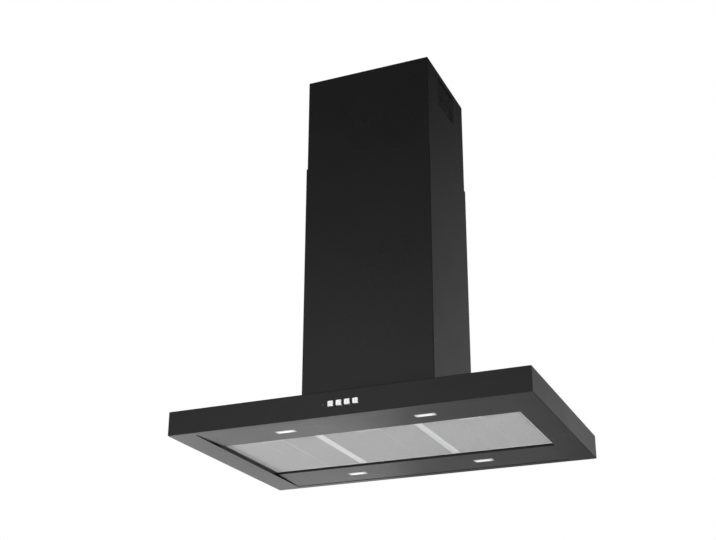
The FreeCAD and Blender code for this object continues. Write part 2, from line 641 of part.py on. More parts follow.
def outlet_flap(side):
    """Half-round non-return flap with two knuckles on the shared pin."""
    half = FLAP_THICKNESS / 2
    knuckle_radius = 3.5
    disc = rod(FLAP_RADIUS, (DUCT_X, 0, FLAP_Z - half), (DUCT_X, 0, FLAP_Z + half))
    keep = block((DUCT_X + knuckle_radius + 0.7, DUCT_X + 80.0), (-80.0, 80.0), (FLAP_Z - 5, FLAP_Z + 5))
    pieces = [disc.common(keep)]
    for y in FLAP_KNUCKLES:
        pieces.append(block((DUCT_X, DUCT_X + 6.0), y, (FLAP_Z - half, FLAP_Z + half)))
        pieces.append(rod(knuckle_radius, (DUCT_X, y[0], FLAP_Z), (DUCT_X, y[1], FLAP_Z)))
    bore = rod(FLAP_PIN_RADIUS + FLAP_FIT, (DUCT_X, -80.0, FLAP_Z), (DUCT_X, 80.0, FLAP_Z))
    flap = cut(join(pieces), [bore])
    if side < 0:
        flap.rotate(Vector(DUCT_X, 0, FLAP_Z), Z_AXIS, 180.0)
    return flap


# ---- electrics ----------------------------------------------------------------------------------------
DRIVER_X = (-148.0, -78.0)
DRIVER_MIDDLE = (DRIVER_X[0] + DRIVER_X[1]) / 2
DRIVER_Y = (-90.0, 90.0)
DRIVER_HEIGHT = 50.0
DRIVER_WALL = 1.2
DRIVER_TOP = BLOWER_TOP + DRIVER_HEIGHT
BOARD_Z = BLOWER_TOP + 10.0
GLAND_PLACE = (-112.0, 60.0)
GLAND_BORE = 4.2
GLAND_HEIGHT = 20.0


def driver_box():
    """Tray for the power electronics, open on top, with four posts for the board."""
    wall = DRIVER_WALL
    outer = block(DRIVER_X, DRIVER_Y, (BLOWER_TOP, DRIVER_TOP))
    inner = block((DRIVER_X[0] + wall, DRIVER_X[1] - wall), (DRIVER_Y[0] + wall, DRIVER_Y[1] - wall),
                  (BLOWER_TOP + wall, DRIVER_TOP + 1))
    posts = []
    for side, end in CORNERS:
        x, y = DRIVER_MIDDLE + side * 26.0, end * 80.0
        posts.append(rod(4.0, (x, y, BLOWER_TOP + wall / 2), (x, y, BOARD_Z)))
    cable = cable_points()[0]
    hole = rod(CABLE_RADIUS, (cable.x, DRIVER_Y[0] - 1, cable.z), (cable.x, DRIVER_Y[0] + wall + 1, cable.z))
    return cut(join([cut(outer, [inner])] + posts), [hole])


def power_board():
    """Board with the lamp supply, relays, terminal block and the motor's run capacitor."""
    low = BOARD_Z
    top = low + 1.6
    middle = DRIVER_MIDDLE
    edge = DRIVER_WALL + 1.0
    board = block((DRIVER_X[0] + edge, DRIVER_X[1] - edge), (DRIVER_Y[0] + edge, DRIVER_Y[1] - edge),
                  (low, top))
    parts = [slab(36.0, 30.0, (top, top + 24.0), middle, -10.0),
             slab(50.0, 12.0, (top, top + 12.0), middle, 72.0)]
    parts += [slab(16.0, 20.0, (top, top + 16.0), middle + x, 30.0) for x in (-20.0, 0.0, 20.0)]
    parts.append(rod(13.0, (middle, -78.0, top + 12.5), (middle, -34.0, top + 12.5)))
    return join([board] + parts)


def driver_cover():
    """Lid with a turned-down edge inside the tray and a hole for the gland."""
    wall = DRIVER_WALL
    lid = block(DRIVER_X, DRIVER_Y, (DRIVER_TOP, DRIVER_TOP + wall))
    outer = (DRIVER_X[1] - DRIVER_X[0] - 2 * wall, DRIVER_Y[1] - DRIVER_Y[0] - 2 * wall)
    edge = ring(outer, (outer[0] - 2 * wall, outer[1] - 2 * wall), (DRIVER_TOP - 5.0, DRIVER_TOP),
                DRIVER_MIDDLE)
    x, y = GLAND_PLACE
    hole = rod(8.0, (x, y, DRIVER_TOP - 6.0), (x, y, DRIVER_TOP + 6.0))
    return cut(join([lid, edge]), [hole])


def cable_gland():
    """Clamping gland for the mains cable: thread through the lid, six-sided nut, domed cap."""
    x, y = GLAND_PLACE
    base = DRIVER_TOP + DRIVER_WALL
    turns = [math.radians(60.0 * corner) for corner in range(7)]
    corners = [Vector(x + 11.0 * math.cos(turn), y + 11.0 * math.sin(turn), base) for turn in turns]
    nut = Part.Face(Part.makePolygon(corners)).extrude(Vector(0, 0, 6.0))
    thread = rod(8.0, (x, y, base - 5.0), (x, y, base + 1.0))
    cap = rod(8.5, (x, y, base + 6.0), (x, y, base + GLAND_HEIGHT - 5.0))
    top_edge = [edge for edge in cap.Edges if edge.BoundBox.ZMin > base + 6.1]
    cap = cap.makeFillet(2.0, top_edge)
    bore = rod(GLAND_BORE, (x, y, base - 6.0), (x, y, base + GLAND_HEIGHT))
    return cut(join([nut, thread, cap]), [bore])


def control_cable():
    """Round cable on straight runs joined by tangent arcs."""
    points = cable_points()
    edges = []
    start = points[0]
    for before, corner, after in zip(points, points[1:], points[2:]):
        come = (before - corner).normalize()
        leave = (after - corner).normalize()
        turn = math.pi - come.getAngle(leave)
        reach = CABLE_BEND * math.tan(turn / 2)
        enter, out = corner + come * reach, corner + leave * reach
        centre = corner + (come + leave).normalize() * (CABLE_BEND / math.cos(turn / 2))
        middle = centre + (corner - centre).normalize() * CABLE_BEND
        edges.append(Part.LineSegment(start, enter).toShape())
        edges.append(Part.Arc(enter, middle, out).toShape())
        start = out
        print("cable bend radius %.1f, turn %.0f degrees" % (CABLE_BEND, math.degrees(turn)))
    edges.append(Part.LineSegment(start, points[-1]).toShape())
    path = Part.Wire(edges)
    circle = Part.Wire([Part.makeCircle(CABLE_RADIUS, points[0], points[1] - points[0])])
    cable = path.makePipeShell([circle], True, False)
    print("cable length %.1f, volume against section times length %.4f"
          % (path.Length, cable.Volume / (math.pi * CABLE_RADIUS ** 2 * path.Length)))
    return cable


# ---- frame --------------------------------------------------------------------------------------------
def ceiling_plate():
    """Flat ring bolted to the ceiling, with turned-down tabs at the corners for the frame."""
    reach = UPPER_ANGLE[0] - ANGLE_THICKNESS, UPPER_ANGLE[1] - ANGLE_THICKNESS
    plate = ring((2 * reach[0], 2 * reach[1]), DUCT_OPENING, (-PLATE_THICKNESS, 0.0))
    tab = (-25.0, 0.0)
    tabs = []
    holes = []
    for corner in CORNERS:
        tabs.append(corner_block(corner, (reach[0] - 2.0, reach[0]), (reach[1] - ANGLE_LEG, reach[1]), tab))
        tabs.append(corner_block(corner, (reach[0] - ANGLE_LEG, reach[0]), (reach[1] - 2.0, reach[1]), tab))
        x, y = corner[0] * CEILING_BOLTS[0] / 2, corner[1] * CEILING_BOLTS[1] / 2
        holes.append(rod(CEILING_BOLT_RADIUS, (x, y, -PLATE_THICKNESS - 1), (x, y, 1)))
        holes.append(side_rod(corner[0], 2.5, (160.0, 170.0), corner[1] * ANGLE_MIDDLE_Y, SCREW_Z))
    return cut(join([plate] + tabs), holes)


def angle_bar(corner, outer, z):
    """One L-section upright whose outer faces are at the given distances from the middle."""
    leg, wall = ANGLE_LEG, ANGLE_THICKNESS
    return join([corner_block(corner, (outer[0] - wall, outer[0]), (outer[1] - leg, outer[1]), z),
                 corner_block(corner, (outer[0] - leg, outer[0]), (outer[1] - wall, outer[1]), z)])


def ceiling_frame_screws():
    """Four screws that hold the frame's uprights to the plate's tabs, heads inside."""
    screws = []
    face = UPPER_ANGLE[0] - ANGLE_THICKNESS - 2.0
    for corner in CORNERS:
        y = corner[1] * ANGLE_MIDDLE_Y
        screws.append(join([side_rod(corner[0], 4.5, (face - 3.0, face), y, SCREW_Z),
                            side_rod(corner[0], 2.5, (face - 1.0, UPPER_ANGLE[0] + 1.0), y, SCREW_Z)]))
    return group(screws)


def upper_ladder(side):
    """Two uprights and a strap: one side of the frame that hangs from the ceiling plate."""
    height = (UPPER_ANGLE_END, 0.0)
    strap = side_block(side, (UPPER_ANGLE[0], UPPER_ANGLE[0] + STRAP_THICKNESS),
                       (-UPPER_ANGLE[1], UPPER_ANGLE[1]), (UPPER_ANGLE_END + 10.0, UPPER_ANGLE_END + 50.0))
    holes = []
    slot_half = 3.3
    ends = (CLAMP_Z - HEIGHT_TRAVEL - 10.0, CLAMP_Z + HEIGHT_TRAVEL + 10.0)
    for end in (-1, 1):
        y = end * ANGLE_MIDDLE_Y
        holes.append(side_rod(side, 2.5, (160.0, 170.0), y, SCREW_Z))
        holes.append(side_block(side, (160.0, 175.0), (y - slot_half, y + slot_half), ends))
    bars = [angle_bar((side, end), UPPER_ANGLE, height) for end in (-1, 1)]
    return cut(join(bars + [strap]), holes)


def lower_ladder(side):
    """Two uprights, two straps and two feet: one side of the frame that carries the canopy."""
    height = (CANOPY_TOP, LOWER_ANGLE_TOP)
    inner = LOWER_ANGLE[0] - ANGLE_THICKNESS
    straps = [side_block(side, (inner - STRAP_THICKNESS, inner), (-LOWER_ANGLE[1], LOWER_ANGLE[1]),
                         (z, z + STRAP_WIDTH)) for z in STRAP_LEVELS]
    pieces = [angle_bar((side, end), LOWER_ANGLE, height) for end in (-1, 1)] + straps
    holes = []
    for end in (-1, 1):
        corner = (side, end)
        pieces.append(corner_block(corner, (151.0, LOWER_ANGLE[0]), (104.0, LOWER_ANGLE[1]),
                                   (CANOPY_TOP, CANOPY_TOP + 3.0)))
        x, y = side * FOOT_BOLT[0], end * FOOT_BOLT[1]
        holes.append(rod(2.6, (x, y, CANOPY_TOP - 1), (x, y, CANOPY_TOP + 4)))
        holes.append(side_rod(side, 3.0, (158.0, 168.0), end * ANGLE_MIDDLE_Y, CLAMP_Z))
    return cut(join(pieces), holes)


def lower_cross_bars():
    """Front and rear straps that tie the two lower ladders together above the blower."""
    face = LOWER_ANGLE[1] - ANGLE_THICKNESS
    reach = LOWER_ANGLE[0] - ANGLE_THICKNESS - STRAP_THICKNESS
    bars = []
    for end in (-1, 1):
        low, high = sorted((end * face, end * (face - STRAP_THICKNESS)))
        for z in STRAP_LEVELS:
            bars.append(block((-reach, reach), (low, high), (z, z + STRAP_WIDTH)))
    return group(bars)


def height_clamp_bolts():
    """Four flat-headed bolts that clamp the two frames at the height that was set."""
    bolts = []
    inner, outer = LOWER_ANGLE[0] - ANGLE_THICKNESS, UPPER_ANGLE[0]
    for corner in CORNERS:
        side, y = corner[0], corner[1] * ANGLE_MIDDLE_Y
        nut = side_rod(side, 5.5, (inner - 4.5, inner), y, CLAMP_Z)
        thread = side_rod(side, 3.0, (inner - 1.0, outer + 1.0), y, CLAMP_Z)
        head = side_rod(side, 7.0, (outer + 0.3, outer + 1.7), y, CLAMP_Z)
        bolts.append(join([nut, thread, head]))
    return group(bolts)


def canopy_bolts():
    """Four bolts through the frame's feet and the canopy's top, with nuts underneath."""
    bolts = []
    foot_top = CANOPY_TOP + 3.0
    for x, y in foot_bolt_places():
        bolts.append(join([rod(4.5, (x, y, foot_top), (x, y, foot_top + 3.5)),
                           rod(2.5, (x, y, CEILING_SIDE - 5.0), (x, y, foot_top + 1.0)),
                           rod(4.5, (x, y, CEILING_SIDE - 4.0), (x, y, CEILING_SIDE))]))
    return group(bolts)


# ---- chimney ------------------------------------------------------------------------------------------
def chimney_tube(size, z):
    width, depth = size[0], size[1]
    inner = rounded_slab(width - 2 * CHIMNEY_SHEET, depth - 2 * CHIMNEY_SHEET, (z[0] - 1, z[1] + 1),
                         CHIMNEY_CORNER - CHIMNEY_SHEET)
    return cut(rounded_slab(width, depth, z, CHIMNEY_CORNER), [inner])


def chimney_upper():
    """Inner half, fixed at the ceiling, with a vent window on each side."""
    tube = chimney_tube(UPPER_CHIMNEY, (-UPPER_CHIMNEY[2], 0.0))
    window = slab(UPPER_CHIMNEY[0] + 10.0, VENT_WIDTH, (VENT_BOTTOM, VENT_TOP))
    return cut(tube, [window])


def chimney_lower():
    """Outer half, which stands on the canopy and slides over the inner one."""
    return chimney_tube(LOWER_CHIMNEY, (CANOPY_TOP, CANOPY_TOP + LOWER_CHIMNEY[2]))


def vent_grille(side):
    """Moulded tray behind the vent window, with upright fins set back from the sheet."""
    face = UPPER_CHIMNEY[0] / 2 - CHIMNEY_SHEET
    back = face - 10.5
    half = VENT_WIDTH / 2 + 0.8
    low, high = VENT_BOTTOM - 0.8, VENT_TOP + 0.8
    wall = 1.5
    flange = side_block(side, (face - 1.2, face), (-half - 10.0, half + 10.0), (low - 9.0, high + 9.0))
    tray = side_block(side, (back, face), (-half - wall, half + wall), (low - wall, high + wall))
    hollow = side_block(side, (back - 1, face + 1), (-half, half), (low, high))
    pieces = [cut(join([flange, tray]), [hollow])]
    for number in range(-5, 6):
        y = number * 10.5
        pieces.append(side_block(side, (back, face - 4.0), (y - 0.7, y + 0.7), (low, high)))
    middle = (low + high) / 2
    pieces.append(side_block(side, (back, face - 4.0), (-half, half), (middle - 0.9, middle + 0.9)))
    return join(pieces)


# ---- write every piece --------------------------------------------------------------------------------
os.makedirs("parts", exist_ok=True)

save("ceiling_plate", ceiling_plate())
save("ceiling_frame_screws", ceiling_frame_screws())
save("chimney_upper", chimney_upper())
save("chimney_lower", chimney_lower())
save("lower_cross_bars", lower_cross_bars())
save("height_clamp_bolts", height_clamp_bolts())
save("canopy_bolts", canopy_bolts())
for side_name, side_sign in SIDES:
    save("upper_ladder_" + side_name, upper_ladder(side_sign))
    save("lower_ladder_" + side_name, lower_ladder(side_sign))
    save("vent_grille_" + side_name, vent_grille(side_sign))
    save("outlet_flap_" + side_name, outlet_flap(side_sign))

save("canopy_shell", canopy_shell())
save("air_chamber", air_chamber())
save("filter_hinge_rod", filter_hinge_rod())
for end_name, end_sign in ENDS:
    save(end_name + "_light_strip", light_strip(end_sign))
    for side_name, side_sign in SIDES:
        save("lamp_housing_%s_%s" % (end_name, side_name), lamp_housing(side_sign, end_sign))
        save("lamp_lens_%s_%s" % (end_name, side_name), lamp_lens(side_sign, end_sign))
save("lamp_boards", lamp_boards())

for filter_index, filter_side in enumerate(FILTER_SIDES):
    save("filter_frame_" + filter_side, filter_frame(filter_index))
    save("filter_mesh_" + filter_side, filter_mesh(filter_index))
    save("filter_latch_" + filter_side, filter_latch(filter_index))

save("control_housing", control_housing())
save("control_board", control_board())
save("indicator_light", indicator_light())
for button_index, button_name in enumerate(BUTTON_NAMES):
    save(button_name, button(button_index))

save("blower_gasket", blower_gasket())
save("blower_box", blower_box())
save("blower_scroll", blower_scroll())
save("motor_bracket", motor_bracket())
save("motor_mounts", motor_mounts())
save("blower_motor", blower_motor())
save("motor_shaft", motor_shaft())
save("impeller", impeller())
save("outlet_collar", outlet_collar())
save("flap_pin", flap_pin())
save("driver_box", driver_box())
save("power_board", power_board())
save("driver_cover", driver_cover())
save("cable_gland", cable_gland())
save("control_cable", control_cable())
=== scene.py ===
# %% [markdown]
# # A ceiling-hung range hood, dressed for its portrait
#
# The hood's solids are already exact: every sheet, bolt and button sits where the real one would. This
# lesson keeps those solids as a fixed frame and gives them the finishes of the real thing. Only where a
# solid is too plain for a close look, such as the filters' expanded metal or the push buttons, a finer mesh
# takes its place.

# %% Load the frame and keep its size
import json
import math

import bmesh
import bpy
import numpy as np
from mathutils import Matrix, Vector


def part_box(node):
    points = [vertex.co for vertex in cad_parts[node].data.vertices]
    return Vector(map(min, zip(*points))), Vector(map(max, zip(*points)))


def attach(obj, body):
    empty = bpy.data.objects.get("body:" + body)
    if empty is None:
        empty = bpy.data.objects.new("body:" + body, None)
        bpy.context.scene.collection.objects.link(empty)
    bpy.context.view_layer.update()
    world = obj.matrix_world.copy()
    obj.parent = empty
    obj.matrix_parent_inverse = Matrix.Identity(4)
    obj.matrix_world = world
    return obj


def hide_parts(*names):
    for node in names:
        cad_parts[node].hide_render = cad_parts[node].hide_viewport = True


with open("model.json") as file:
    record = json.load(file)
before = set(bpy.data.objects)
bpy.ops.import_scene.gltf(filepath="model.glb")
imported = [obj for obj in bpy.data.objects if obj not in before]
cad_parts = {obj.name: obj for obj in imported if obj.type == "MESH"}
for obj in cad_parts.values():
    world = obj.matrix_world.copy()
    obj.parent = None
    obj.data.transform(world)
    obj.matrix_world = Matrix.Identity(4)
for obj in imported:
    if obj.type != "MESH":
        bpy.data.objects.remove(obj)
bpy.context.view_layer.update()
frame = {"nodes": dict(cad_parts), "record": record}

MM = 0.001

# %% [markdown]
# ## The camera
#
# The hood hangs above the viewer, who stands in front of it and a little to its right and looks up. A
# camera fitted to the straight edges in the photograph gives its place, its turn and its focal length. The
# picture was cut from a larger one, so the lens axis isn't in the middle of the frame: a small shift stands
# for that.

# %% Make the camera
IMAGE_WIDTH, IMAGE_HEIGHT = 716, 540
FOCAL_PIXELS = 1226.4
AXIS_PIXEL = (370.0, 300.0)
CAMERA_PLACE = (1.089, -2.731, -1.813)
CAMERA_PITCH, CAMERA_YAW = 22.24, 22.65

camera_data = bpy.data.cameras.new("portrait_camera")
camera_data.sensor_width = 36.0
camera_data.lens = camera_data.sensor_width * FOCAL_PIXELS / IMAGE_WIDTH
camera_data.shift_x = (IMAGE_WIDTH / 2 - AXIS_PIXEL[0]) / IMAGE_WIDTH
camera_data.shift_y = (AXIS_PIXEL[1] - IMAGE_HEIGHT / 2) / IMAGE_WIDTH
camera = bpy.data.objects.new("portrait_camera", camera_data)
camera.location = CAMERA_PLACE
camera.rotation_euler = (math.radians(90 + CAMERA_PITCH), 0, math.radians(CAMERA_YAW))
bpy.context.scene.collection.objects.link(camera)
bpy.context.scene.camera = camera
bpy.context.scene.view_settings.view_transform = "Standard"
print("focal length %.1f mm, shift %.3f, %.3f" % (camera_data.lens, camera_data.shift_x, camera_data.shift_y))

# %% [markdown]
# ## Wiring nodes without clutter
#
# A material is a small circuit of nodes. One helper adds a node, sets its properties, and either links or
# fills its inputs; another opens a node group with named sockets. Every effect below that serves more than
# one finish is such a group, built once.


# %% Node helpers
def add_node(tree, kind, inputs=None, **settings):
    """Adds a node to a tree. An input given as a socket is linked, anything else is set as its value."""
    node = tree.nodes.new(kind)
    for name, value in settings.items():
        setattr(node, name, value)
    for key, value in (inputs or {}).items():
        if isinstance(value, bpy.types.NodeSocket):
            tree.links.new(value, node.inputs[key])
        else:
            node.inputs[key].default_value = value
    return node


def open_group(title, inputs, outputs):
    """A new node group. Inputs are name: default, where a triple makes a vector; outputs are names."""
    tree = bpy.data.node_groups.new(title, "ShaderNodeTree")
    for name, value in inputs.items():
        kind = "NodeSocketVector" if isinstance(value, tuple) else "NodeSocketFloat"
        tree.interface.new_socket(name=name, in_out="INPUT", socket_type=kind).default_value = value
    for name in outputs:
        tree.interface.new_socket(name=name, in_out="OUTPUT", socket_type="NodeSocketFloat")
    return tree, tree.nodes.new("NodeGroupInput").outputs, tree.nodes.new("NodeGroupOutput").inputs


def place_group(tree, group, **values):
    """Puts a group into a material, with its inputs set by name."""
    node = tree.nodes.new("ShaderNodeGroup")
    node.node_tree = group
    for name, value in values.items():
        node.inputs[name.replace("_", " ")].default_value = value
    return node.outputs


def between(tree, value, low, high, start=0.0, end=1.0):
    """Maps a value that runs from start to end onto low to high."""
    node = add_node(tree, "ShaderNodeMapRange", {"Value": value, "From Min": start, "From Max": end,
                                                 "To Min": low, "To Max": high})
    return node.outputs["Result"]


def blend_tones(tree, factor, dark, light):
    """A colour between two tones."""
    node = add_node(tree, "ShaderNodeMix", {0: factor, 6: (*dark, 1.0), 7: (*light, 1.0)}, data_type="RGBA")
    return node.outputs[2]


def math_node(tree, operation, first, second=0.0):
    """The result of one sum, product or function."""
    return add_node(tree, "ShaderNodeMath", {0: first, 1: second}, operation=operation).outputs[0]


def object_place(tree):
    """Each point's place on its own object, in metres."""
    return add_node(tree, "ShaderNodeTexCoord").outputs["Object"]


print("helpers ready")

# %% [markdown]
# ## Surface effects, each built once
#
# Powder coat is paint baked from powder: it flows into a very fine pebbled skin, a millimetre or so from
# bump to bump, and never lies quite evenly. Rolled and drawn metal carries fine lines along the way it
# moved through the rollers. Moulded plastic has a dull spark-eroded skin. Each of these is noise at the
# right scale, read in the object's own metres, so it stays put when the piece moves.


# %% Group: the pebbled skin of powder coat
def make_pebbles():
    tree, given, result = open_group("powder_pebbles", {"Pebbles per metre": 900.0},
                                     ["Height", "Cloud", "Speck"])
    place = object_place(tree)
    pebble = add_node(tree, "ShaderNodeTexNoise", {"Vector": place, "Scale": given["Pebbles per metre"],
                                                   "Detail": 2.0, "Roughness": 0.55})
    cloud = add_node(tree, "ShaderNodeTexNoise", {"Vector": place, "Scale": 5.0, "Detail": 3.0})
    tree.links.new(pebble.outputs[0], result["Height"])
    tree.links.new(cloud.outputs[0], result["Cloud"])
    fine = math_node(tree, "MULTIPLY", given["Pebbles per metre"], 0.45)
    speck = add_node(tree, "ShaderNodeTexNoise", {"Vector": place, "Scale": fine, "Detail": 1.0})
    tree.links.new(speck.outputs[0], result["Speck"])
    return tree


POWDER_PEBBLES = make_pebbles()
print("made", POWDER_PEBBLES.name)


# %% Group: lines left by rolling or drawing, stretched along one way
def make_drawn_lines():
    tree, given, result = open_group("drawn_lines", {"Lines per metre": (30.0, 1400.0, 1400.0)},
                                     ["Lines", "Cloud"])
    place = object_place(tree)
    stretched = add_node(tree, "ShaderNodeVectorMath", {0: place, 1: given["Lines per metre"]},
                         operation="MULTIPLY").outputs[0]
    lines = add_node(tree, "ShaderNodeTexNoise", {"Vector": stretched, "Scale": 1.0, "Detail": 3.0})
    cloud = add_node(tree, "ShaderNodeTexNoise", {"Vector": place, "Scale": 14.0, "Detail": 2.0})
    tree.links.new(lines.outputs[0], result["Lines"])
    tree.links.new(cloud.outputs[0], result["Cloud"])
    return tree


DRAWN_LINES = make_drawn_lines()
print("made", DRAWN_LINES.name)


# %% Group: the large flat crystals of hot-dip zinc
def make_spangle():
    tree, given, result = open_group("zinc_spangle", {"Crystals per metre": 90.0}, ["Facet", "Edge", "Dust"])
    place = object_place(tree)
    wobble = add_node(tree, "ShaderNodeTexNoise", {"Vector": place, "Scale": 60.0, "Detail": 2.0})
    bent = add_node(tree, "ShaderNodeVectorMath",
                    {0: wobble.outputs["Color"], 1: (0.008, 0.008, 0.008), 2: place},
                    operation="MULTIPLY_ADD").outputs[0]
    cells = add_node(tree, "ShaderNodeTexVoronoi", {"Vector": bent, "Scale": given["Crystals per metre"]})
    rim = add_node(tree, "ShaderNodeTexVoronoi", {"Vector": bent, "Scale": given["Crystals per metre"]},
                   feature="DISTANCE_TO_EDGE")
    grey = add_node(tree, "ShaderNodeSeparateColor", {0: cells.outputs["Color"]}).outputs[0]
    dust = add_node(tree, "ShaderNodeTexNoise", {"Vector": place, "Scale": 9.0, "Detail": 4.0}).outputs[0]
    tree.links.new(grey, result["Facet"])
    tree.links.new(between(tree, rim.outputs["Distance"], 0.0, 1.0, 0.0, 0.06), result["Edge"])
    tree.links.new(dust, result["Dust"])
    return tree


ZINC_SPANGLE = make_spangle()
print("made", ZINC_SPANGLE.name)


# %% Group: the dull skin of a moulding
def make_moulded_skin():
    tree, given, result = open_group("moulded_skin", {"Grains per metre": 2200.0}, ["Grain", "Flow"])
    place = object_place(tree)
    grain = add_node(tree, "ShaderNodeTexVoronoi", {"Vector": place, "Scale": given["Grains per metre"]},
                     feature="SMOOTH_F1")
    flow = add_node(tree, "ShaderNodeTexNoise", {"Vector": place, "Scale": 18.0, "Detail": 2.0,
                                                 "Distortion": 0.8})
    tree.links.new(grain.outputs["Distance"], result["Grain"])
    tree.links.new(flow.outputs[0], result["Flow"])
    return tree


MOULDED_SKIN = make_moulded_skin()
print("made", MOULDED_SKIN.name)

# %% [markdown]
# ## The finishes
#
# One function opens each material with its plain values set straight on the shader; what changes over the
# surface comes from the groups. The black enamel gets most care, because it is nearly all that shows.


# %% Helper: open a material
def open_material(name, roughness, metallic=0.0, **plain):
    """A material with one Principled shader. Values in plain are set on its sockets by name."""
    material = bpy.data.materials.new(name)
    material.use_nodes = True
    tree = material.node_tree
    shader = tree.nodes["Principled BSDF"]
    shader.inputs["Roughness"].default_value = roughness
    shader.inputs["Metallic"].default_value = metallic
    for key, value in plain.items():
        shader.inputs[key.replace("_", " ")].default_value = value
    return material, tree, shader.inputs


NOISE_LOW, NOISE_HIGH = 0.3, 0.7     # where nearly all of a noise lies


def colour_from(tree, sockets, factor, dark, light):
    """Colours the surface between two tones."""
    tree.links.new(blend_tones(tree, factor, dark, light), sockets["Base Color"])


def roughness_from(tree, sockets, noise, low, high):
    """Lets the roughness wander with a noise."""
    tree.links.new(between(tree, noise, low, high, NOISE_LOW, NOISE_HIGH), sockets["Roughness"])


def emboss(tree, sockets, height, distance):
    """Feeds a height into the shader's normal through a bump; distance is in metres."""
    bump = add_node(tree, "ShaderNodeBump", {"Height": height, "Distance": distance, "Strength": 1.0})
    tree.links.new(bump.outputs[0], sockets["Normal"])


FINISH = {}
print("finish helpers ready")

# %% [markdown]
# The enamel is nearly black. Fine specks vary its tone a little, a slow cloud varies its shine, and the
# pebbles roughen it by a few hundredths of a millimetre.

# %% Black powder coat
BLACK_DARK, BLACK_LIGHT = (0.0040, 0.0040, 0.0042), (0.0064, 0.0064, 0.0067)
FINISH["black_enamel"], tree, sockets = open_material("black_enamel", 0.29)
pebbles = place_group(tree, POWDER_PEBBLES, Pebbles_per_metre=750.0)
colour_from(tree, sockets, pebbles["Speck"], BLACK_DARK, BLACK_LIGHT)
roughness_from(tree, sockets, pebbles["Cloud"], 0.26, 0.32)
emboss(tree, sockets, pebbles["Height"], 0.00005)
print("black enamel between", BLACK_DARK[0], "and", BLACK_LIGHT[0])

# %% [markdown]
# Galvanised sheet is what the frame behind the chimney and the fan's box are folded from. Its crystals
# differ in brightness and in shine. Screws and bolts are zinc plated instead, which is even and a little
# brighter. The few screws at the chimney's back are blackened, so that they don't show on the enamel.

# %% Galvanised sheet and screws
FINISH["galvanised_steel"], tree, sockets = open_material("galvanised_steel", 0.45, 0.9)
spangle = place_group(tree, ZINC_SPANGLE, Crystals_per_metre=85.0)
colour_from(tree, sockets, spangle["Facet"], (0.42, 0.43, 0.44), (0.60, 0.61, 0.62))
roughness_from(tree, sockets, spangle["Dust"], 0.36, 0.58)
emboss(tree, sockets, spangle["Edge"], 0.00004)

FINISH["zinc_screws"], tree, sockets = open_material("zinc_screws", 0.32, 1.0)
lines = place_group(tree, DRAWN_LINES, Lines_per_metre=(900.0, 900.0, 900.0))
colour_from(tree, sockets, lines["Lines"], (0.52, 0.53, 0.55), (0.72, 0.72, 0.73))
roughness_from(tree, sockets, lines["Cloud"], 0.26, 0.40)
emboss(tree, sockets, lines["Lines"], 0.00002)

FINISH["black_screws"], tree, sockets = open_material("black_screws", 0.40, 0.6)
skin = place_group(tree, POWDER_PEBBLES, Pebbles_per_metre=1500.0)
colour_from(tree, sockets, skin["Speck"], (0.012, 0.012, 0.013), (0.030, 0.030, 0.031))
roughness_from(tree, sockets, skin["Cloud"], 0.34, 0.46)
emboss(tree, sockets, skin["Height"], 0.00002)
print("galvanised sheet and screws ready")

# %% [markdown]
# The motor's shaft and the rods are ground round and bright. The catches are brushed lengthwise, so their
# fine lines run along X and spread the light.

# %% Ground and brushed steel
FINISH["bright_steel"], tree, sockets = open_material("bright_steel", 0.22, 1.0)
lines = place_group(tree, DRAWN_LINES, Lines_per_metre=(60.0, 60.0, 4000.0))
colour_from(tree, sockets, lines["Lines"], (0.60, 0.60, 0.61), (0.78, 0.78, 0.79))
roughness_from(tree, sockets, lines["Lines"], 0.16, 0.30)
emboss(tree, sockets, lines["Lines"], 0.00001)

FINISH["latch_steel"], tree, sockets = open_material("latch_steel", 0.34, 1.0)
lines = place_group(tree, DRAWN_LINES, Lines_per_metre=(25.0, 2600.0, 2600.0))
colour_from(tree, sockets, lines["Lines"], (0.50, 0.50, 0.51), (0.68, 0.68, 0.69))
roughness_from(tree, sockets, lines["Cloud"], 0.28, 0.40)
emboss(tree, sockets, lines["Lines"], 0.00002)
print("ground and brushed steel ready")
